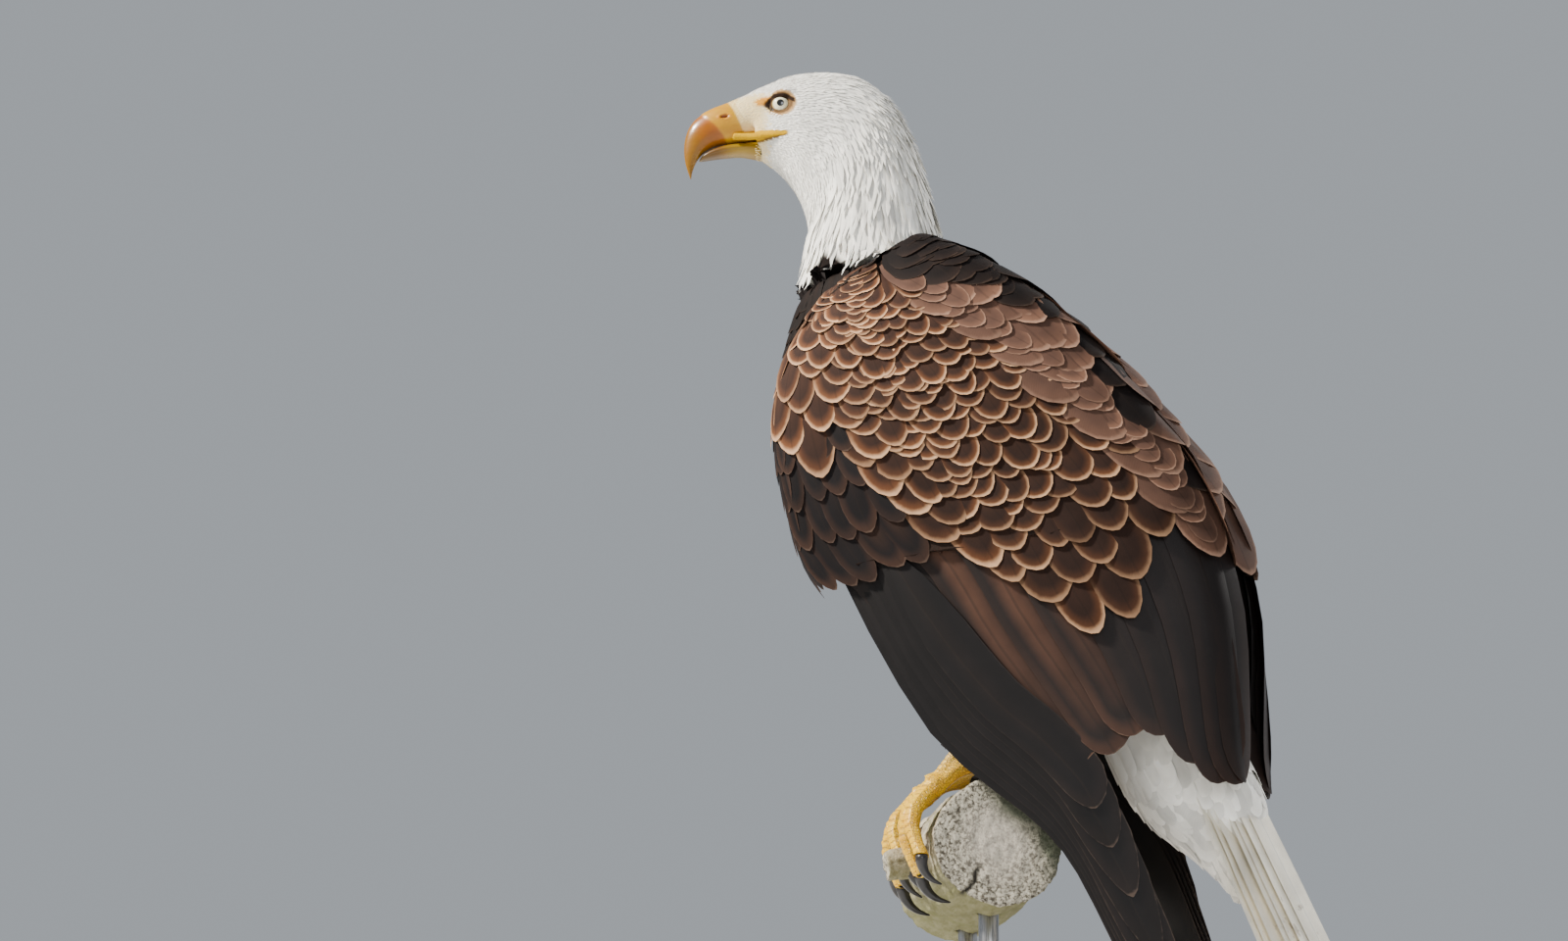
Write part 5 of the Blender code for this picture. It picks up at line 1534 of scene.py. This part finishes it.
def make_bill():
    made, tree, shader = new_material("bill_look", 0.32, 0.35, coat=0.15, subsurface=0.04)
    cloud = tree.noise(60.0, 4.0)
    grain = tree.noise(700.0, 3.0, tree.mapped(Rotation=(0, 0, -HEAD_TURN), Scale=(1.0, 0.16, 1.0)))
    colour = tree.mix(tree.band(cloud, 0.35, 0.75, 0.0, 0.28), tree.attribute("tint"),
                      (0.70, 0.34, 0.10), "MULTIPLY")
    colour = tree.mix(tree.band(grain, 0.40, 0.75, 0.0, 0.22), colour, (0.62, 0.36, 0.14),
                      "MULTIPLY")
    rough = tree.band(cloud, 0.3, 0.7, 0.26, 0.42)
    finish_material(tree, shader, colour, grain, 0.0002, 0.3, rough)
    made_pieces = []
    for name, keys, count, full in (("bill_upper_horn", UPPER_BILL_KEYS, 120, 0.80),
                                    ("bill_lower_horn", LOWER_BILL_KEYS, 60, 0.85)):
        obj = bill_half(name, keys, count, full)
        rows, normals = vertices_of(obj.data), vertex_normals(obj.data)
        forward, up, left = head_place(rows)
        paint = Paint(len(rows), (0.27, 0.080, 0.001))
        lay = paint.lay
        lay(smoothstep(0.098, 0.112, forward - 0.25 * up), (0.22, 0.092, 0.001))
        # Painted shade: darker and more olive towards the bill's underside.
        lay(smoothstep(-0.008, -0.030, up) * 0.7, (0.20, 0.095, 0.002))
        past = forward - np.interp(up, [-0.0180, -0.0135, -0.0065, 0.0030, 0.0080],
                                   [0.0800, 0.0825, 0.0880, 0.0985, 0.1020])
        soft = 0.0014 if name.startswith("bill_upper") else 0.0090
        cere = smoothstep(soft, -soft, past)
        lay(smoothstep(0.0070, 0.0, past) * 0.4, (0.40, 0.13, 0.008))
        lay(cere, (0.50, 0.262, 0.0))
        if name.startswith("bill_upper"):
            lay(smoothstep(0.0008, -0.0006, forward - lore_end(up)) * (up > -0.0100), LORE_TINT)
            rows -= AHEAD * (0.0004 * smoothstep(0.09, 0.112, forward))[:, None]
            rows += normals * (0.00040 * cere * smoothstep(0.062, 0.066, forward))[:, None]
            # The nostrils, with a low rim
            far = np.hypot((forward - 0.0822) / 0.0034,
                           (up - 0.0006 + 0.10 * (forward - 0.0822)) / 0.0013)
            beside = np.abs(left) > 0.004
            hole = smoothstep(1.25, 0.45, far) * beside
            rim = smoothstep(1.9, 1.25, far) * (1 - hole) * beside
            rows += ASIDE * (np.sign(left) * (rim * 0.00035 - hole * 0.0020))[:, None]
            lay(rim * 0.35, (0.85, 0.30, 0.02))
            # The nostril's hollow is painted dark, as the shade inside it.
            lay(hole, (0.20, 0.022, 0.006))
            cutting = np.interp(forward, [0.054, 0.071, 0.081, 0.09, 0.0968],
                                [-0.0150, -0.0160, -0.0172, -0.0196, -0.0232])
            edge = smoothstep(0.0, 1.0, (up - cutting) / -0.0015 + 1)
            lay(edge * 0.35 * (forward < 0.097), (0.40, 0.20, 0.03))
            put_vertices(obj.data, rows)
        else:
            # Painted shade: the lower mandible is made darker and greener, as shade and green light
            # reflected from below.
            paint.colour[:, :3] *= (0.50, 0.58, 0.7)
        put_colours(obj.data, "tint", paint.colour)
        obj.data.materials.append(made)
        made_pieces.append(piece(obj, "bill", name.replace("_horn", "")))
    return made_pieces


def eye_material(side, mirror):
    made, tree, shader = new_material(f"eye_{side}_look", 0.06, 0.6, coat=1.0)
    gaze = tuple(eye_axes(mirror)[0])
    off = tree.vector("SUBTRACT", tree.coordinates(), tuple(eye_centre(mirror)))
    line = tree.vector("SCALE", gaze, Scale=tree.vector("DOT_PRODUCT", off, gaze))
    radius = tree.vector("LENGTH", tree.vector("SUBTRACT", off, line))
    fibre = tree.noise(700.0, 2.0)
    iris = tree.mix(tree.band(fibre, 0.35, 0.65, 0.0, 0.5), (0.86, 0.82, 0.60), (0.70, 0.60, 0.32))
    iris = tree.mix(tree.band(radius, 0.0046, 0.0062), iris, (0.42, 0.30, 0.10))
    colour = tree.mix(tree.band(radius, 0.0025, 0.0028, 1.0, 0.0), iris, (0.004, 0.004, 0.004))
    colour = tree.mix(tree.band(radius, 0.0062, 0.0067), colour, (0.015, 0.010, 0.008))
    finish_material(tree, shader, colour)
    return made


def make_eyes():
    for side, mirror in SIDES:
        bpy.ops.object.select_all(action="DESELECT")
        bpy.ops.mesh.primitive_uv_sphere_add(segments=56, ring_count=32, radius=EYE_RADIUS,
                                             location=tuple(eye_centre(mirror)))
        obj = bpy.context.object
        obj.name = f"eyeball_{side}"
        bpy.ops.object.transform_apply(location=True, rotation=True, scale=True)
        rows = vertices_of(obj.data)
        gaze = eye_axes(mirror)[0]
        out = (rows - eye_centre(mirror)) @ gaze / EYE_RADIUS
        put_vertices(obj.data, rows + gaze * (smoothstep(0.78, 1.0, out) * 0.0007)[:, None])
        obj.data.materials.append(eye_material(side, mirror))
        piece(obj, "eye", f"eye_{side}")


def make_claws():
    made, tree, shader = new_material("claw_look", 0.30, 0.4, coat=0.15)
    cloud = tree.noise(90.0, 3.0)
    colour = tree.mix(tree.band(cloud, 0.3, 0.7), (0.006, 0.006, 0.007), (0.022, 0.020, 0.020))
    finish_material(tree, shader, colour, tree.noise(500.0, 2.0), 0.0002, 0.3)
    for side, _ in SIDES:
        for toe in sorted(TOES):
            node = f"claw_{side}_{toe}"
            obj = merged_nodes(f"talon_{side}_{toe}", [node], 0.0003)
            smooth = obj.modifiers.new("round", "SUBSURF")
            smooth.levels = smooth.render_levels = 2
            finish_modifiers(obj)
            obj.data.materials.append(made)
            piece(obj, "claw", node)


# ---------------------------------------------------------------- log and stand
def wood_group():
    """A group of weathered wood: end grain on the sawn face, fissured bark round it, lichen."""
    tree, given, out = new_group("weathered_log", [], ["Sawn"])
    own = tree.mapped("TEXTURE", Location=tuple(PERCH_CENTRE), Rotation=(0, 0, PERCH_TURN))
    _, front, up = tree.split(own)
    stretched = tree.mapped(Vector=own, Scale=(0.22, 1, 1))
    grain = tree.noise(150.0, 6.0, stretched, 0.7)
    speck = tree.noise(420.0, 4.0, own, 0.75)
    patch = tree.noise(26.0, 5.0, own, 0.6)
    bark = tree.mix(tree.band(grain, 0.30, 0.70), (0.16, 0.125, 0.082), (0.56, 0.50, 0.39))
    bark = tree.mix(tree.band(patch, 0.50, 0.66, 0.0, 0.75), bark, (0.20, 0.21, 0.085))
    # Painted light: the underside is darker and olive, as shade and green light reflected from
    # below.
    under = tree.band(up, 0.012, -0.034)
    bark = tree.mix(tree.maths("MULTIPLY", under, 0.75), bark, (0.20, 0.20, 0.070))
    radius = tree.length(front, up)
    wobble = tree.maths("MULTIPLY_ADD", tree.noise(60.0, 3.0, own), 0.006, radius)
    rings = tree.maths("SINE", tree.maths("MULTIPLY", wobble, 2600.0))
    face = tree.mix(tree.band(speck, 0.38, 0.58), (0.055, 0.047, 0.034), (0.52, 0.48, 0.38))
    face = tree.mix(tree.band(rings, -0.4, 1.0, 0.0, 0.25), face, (0.13, 0.10, 0.07))
    heart = tree.maths("MULTIPLY_ADD", patch, -0.03, radius)
    face = tree.mix(tree.band(heart, 0.020, -0.006, 0.0, 0.55), face, (0.56, 0.50, 0.42))
    # The sawn face turns darker and greener towards its upper front edge.
    toward_upper_front = tree.maths("ADD", tree.maths("MULTIPLY_ADD", patch, 0.05, front),
                      tree.maths("MULTIPLY", up, 0.8))
    face = tree.mix(tree.band(toward_upper_front, 0.034, 0.058, 0.0, 0.88), face, (0.050, 0.062, 0.038))
    tree.link(tree.mix(given["Sawn"], bark, face), out["Color"])
    tree.link(tree.maths("ADD", grain, tree.maths("MULTIPLY", speck, 0.7)), out["Height"])
    return tree.tree


def make_log():
    log = merged_nodes("perch_log", ["perch"], 0.0)
    # The stub of a cut branch on its front
    start = on_perch(0.012, math.radians(97), -0.020)
    end = on_perch(0.016, math.radians(99), 0.026)
    thick = [0.017, 0.016, 0.0145, 0.0135, 0.013, 0.0128, 0.0126, 0.0115]
    add_loft(log, tube(start + (end - start) * np.linspace(0, 1, 8)[:, None], thick, 20))
    remeshed(log, LOG_VOXEL)
    smoothed(log.data, 2)
    rows = vertices_of(log.data)
    off = rows - PERCH_CENTRE
    place = off @ PERCH_AXIS
    across = np.stack([off @ PERCH_FRONT, off[:, 2]], 1)
    spin = np.arctan2(across[:, 0], across[:, 1])
    radius = np.linalg.norm(across, axis=1)
    rough = np.array([noise.fractal(Vector((p * 14, s * 7, r * 60)), 0.7, 2.1, 5)
                      for p, s, r in zip(place, spin, radius)])
    fine = np.array([noise.fractal(Vector(tuple(v * 190)), 0.8, 2.0, 4) for v in rows])
    sawn = smoothstep(SAWN_FROM, SAWN_TO, place)
    bark = -0.0011 * (1 + rough.clip(-1, 1)) - 0.0005 * (1 + fine.clip(-1, 1))
    normal = vertex_normals(log.data)
    # A crack runs down the sawn face from its heart, and the face itself is rough.
    one, two = across[:, 0] - 0.012, across[:, 1] + 0.016
    split = np.abs(one * 0.86 + two * 0.5 + 0.0012 * np.sin(two * 420))
    crack = smoothstep(0.0022, 0.0005, split) * smoothstep(-0.002, 0.004, one * 0.5 - two * 0.86)
    crack *= smoothstep(0.045, 0.060, place)
    move = np.where(sawn > 0.5, -0.0007 * (1 + fine.clip(-1, 1)), bark) - 0.0022 * crack
    rows += normal * move[:, None]
    put_vertices(log.data, rows)
    colour = np.ones((len(rows), 4), dtype=np.float32)
    end_face = np.maximum(sawn * (normal @ PERCH_AXIS > 0.6),
                          smoothstep(0.0245, 0.0262, radius - (PERCH_RADIUS - PERCH_TAPER * place)))
    colour[:, 0] = np.clip(end_face, 0, 1)
    colour[:, 1] = crack
    put_colours(log.data, "marks", colour)
    made, tree, shader = new_material("log_look", 0.88, 0.25)
    face, cracked, _ = tree.split(tree.attribute("marks"), "Color")
    group = tree.add("ShaderNodeGroup", {"node_tree": wood_group()}, Sawn=face)
    # Painted shade: the crack is painted near-black.
    colour = tree.mix(cracked, group.outputs["Color"], (0.02, 0.016, 0.012))
    finish_material(tree, shader, colour, group.outputs["Height"], 0.0016, 0.9)
    log.data.materials.append(made)
    piece(log, "log", "perch")


def make_turned(node, vertices, edge, segments, limit, soft, material, slot):
    """A turned piece in the place of a CAD node, its edges rounded."""
    low, high = (np.array(v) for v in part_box(node))
    bpy.ops.object.select_all(action="DESELECT")
    bpy.ops.mesh.primitive_cylinder_add(vertices=vertices, radius=(high[0] - low[0]) / 2,
                                        depth=high[2] - low[2], location=tuple((low + high) / 2))
    obj = bpy.context.object
    obj.name = node + "_turned"
    bpy.ops.object.transform_apply(location=True, rotation=True, scale=True)
    bevel = obj.modifiers.new("edge", "BEVEL")
    bevel.width, bevel.segments = edge, segments
    bevel.limit_method, bevel.angle_limit = "ANGLE", math.radians(limit)
    finish_modifiers(obj)
    bpy.ops.object.shade_smooth_by_angle(angle=math.radians(soft))
    obj.data.materials.append(material)
    piece(obj, slot, node, smooth=False)


def make_stand():
    wood, tree, shader = new_material("stand_wood_look", 0.42, 0.4, coat=0.15)
    grain = tree.noise(95.0, 6.0, tree.mapped(Scale=(1.0, 0.10, 1.0)), 0.65)
    colour = tree.mix(tree.band(grain, 0.32, 0.68), (0.035, 0.020, 0.012), (0.120, 0.072, 0.042))
    finish_material(tree, shader, colour, grain, 0.0003, 0.35)
    make_turned("stand_base", 128, 0.0045, 6, 40, 28, wood, "stand_wood")
    metal, tree, shader = new_material("stand_metal_look", 0.30, 0.5, metallic=1.0)
    streak = tree.noise(1500.0, 3.0, tree.mapped(Scale=(1.0, 1.0, 0.04)))
    colour = tree.mix(tree.band(streak, 0.35, 0.65), (0.36, 0.36, 0.37), (0.55, 0.55, 0.56))
    finish_material(tree, shader, colour, roughness=tree.band(streak, 0.3, 0.7, 0.26, 0.40))
    for number in (1, 2):
        make_turned(f"stand_rod_{number}", 48, 0.0006, 2, 30, 35, metal, "stand_metal")


# ---------------------------------------------------------------- stage
def area_light(name, place, target, size, power, colour):
    lamp = bpy.data.lights.new(name, "AREA")
    lamp.shape, lamp.size, lamp.energy, lamp.color = "DISK", size, power, colour
    obj = bpy.data.objects.new(name, lamp)
    bpy.context.scene.collection.objects.link(obj)
    obj.location = place
    obj.rotation_euler = (Vector(target) - Vector(place)).to_track_quat("-Z", "Y").to_euler()


def make_stage():
    bpy.ops.object.select_all(action="DESELECT")
    bpy.ops.mesh.primitive_circle_add(vertices=96, radius=9.0, fill_type="NGON")
    floor = bpy.context.object
    floor.name = "studio_floor"
    made, tree, shader = new_material("studio_floor_look", 0.85, 0.2)
    cloud = tree.noise(1.6, 2.0)
    finish_material(tree, shader, tree.mix(cloud, (0.72, 0.72, 0.71), (0.76, 0.76, 0.75)))
    floor.data.materials.append(made)
    world = bpy.data.worlds.new("studio")
    bpy.context.scene.world = world
    world.use_nodes = True
    world.node_tree.nodes["Background"].inputs[0].default_value = (0.84, 0.90, 0.97, 1)
    world.node_tree.nodes["Background"].inputs[1].default_value = 0.44
    area_light("key", (1.5, -2.1, 2.7), (0, -0.05, 0.55), 0.45, 330, (1.0, 0.95, 0.87))
    area_light("fill", (2.6, 1.6, 1.2), (0, 0, 0.5), 1.6, 26, (0.92, 0.95, 1.0))
    area_light("rim", (-2.0, 1.2, 2.2), (0, 0, 0.6), 1.0, 60, (1.0, 0.98, 0.95))


CAMERA_DISTANCE = 2.4


def make_camera():
    """Seen from the bird's left and a little from below, as far off as CAMERA_DISTANCE."""
    aim = Vector((0, -0.1903, 0.5728))
    level, rise = math.radians(22), math.radians(-12)
    off = Vector((math.cos(level) * math.cos(rise), math.sin(level) * math.cos(rise),
                  math.sin(rise)))
    camera = bpy.data.cameras.new("camera")
    camera.lens = 75.6
    camera.sensor_width = 36
    camera.clip_end = 40
    obj = bpy.data.objects.new("camera", camera)
    bpy.context.scene.collection.objects.link(obj)
    obj.location = aim + off * CAMERA_DISTANCE
    obj.rotation_euler = (-off).to_track_quat("-Z", "Y").to_euler()
    bpy.context.scene.camera = obj


# ---------------------------------------------------------------- the whole
def main():
    make_camera()
    make_stage()
    body_ground, neck_ground, whole, face_ground = make_skin()
    make_face(face_ground)
    make_hackles(neck_ground)
    make_collar(whole)
    make_body_feathers(body_ground)
    for side, mirror in SIDES:
        make_thigh(body_ground, side, mirror)
    make_tail_coverts(body_ground)
    for side, mirror in SIDES:
        make_wing(side, mirror)
    make_tail()
    make_eyes()
    make_claws()
    make_log()
    make_stand()


main()
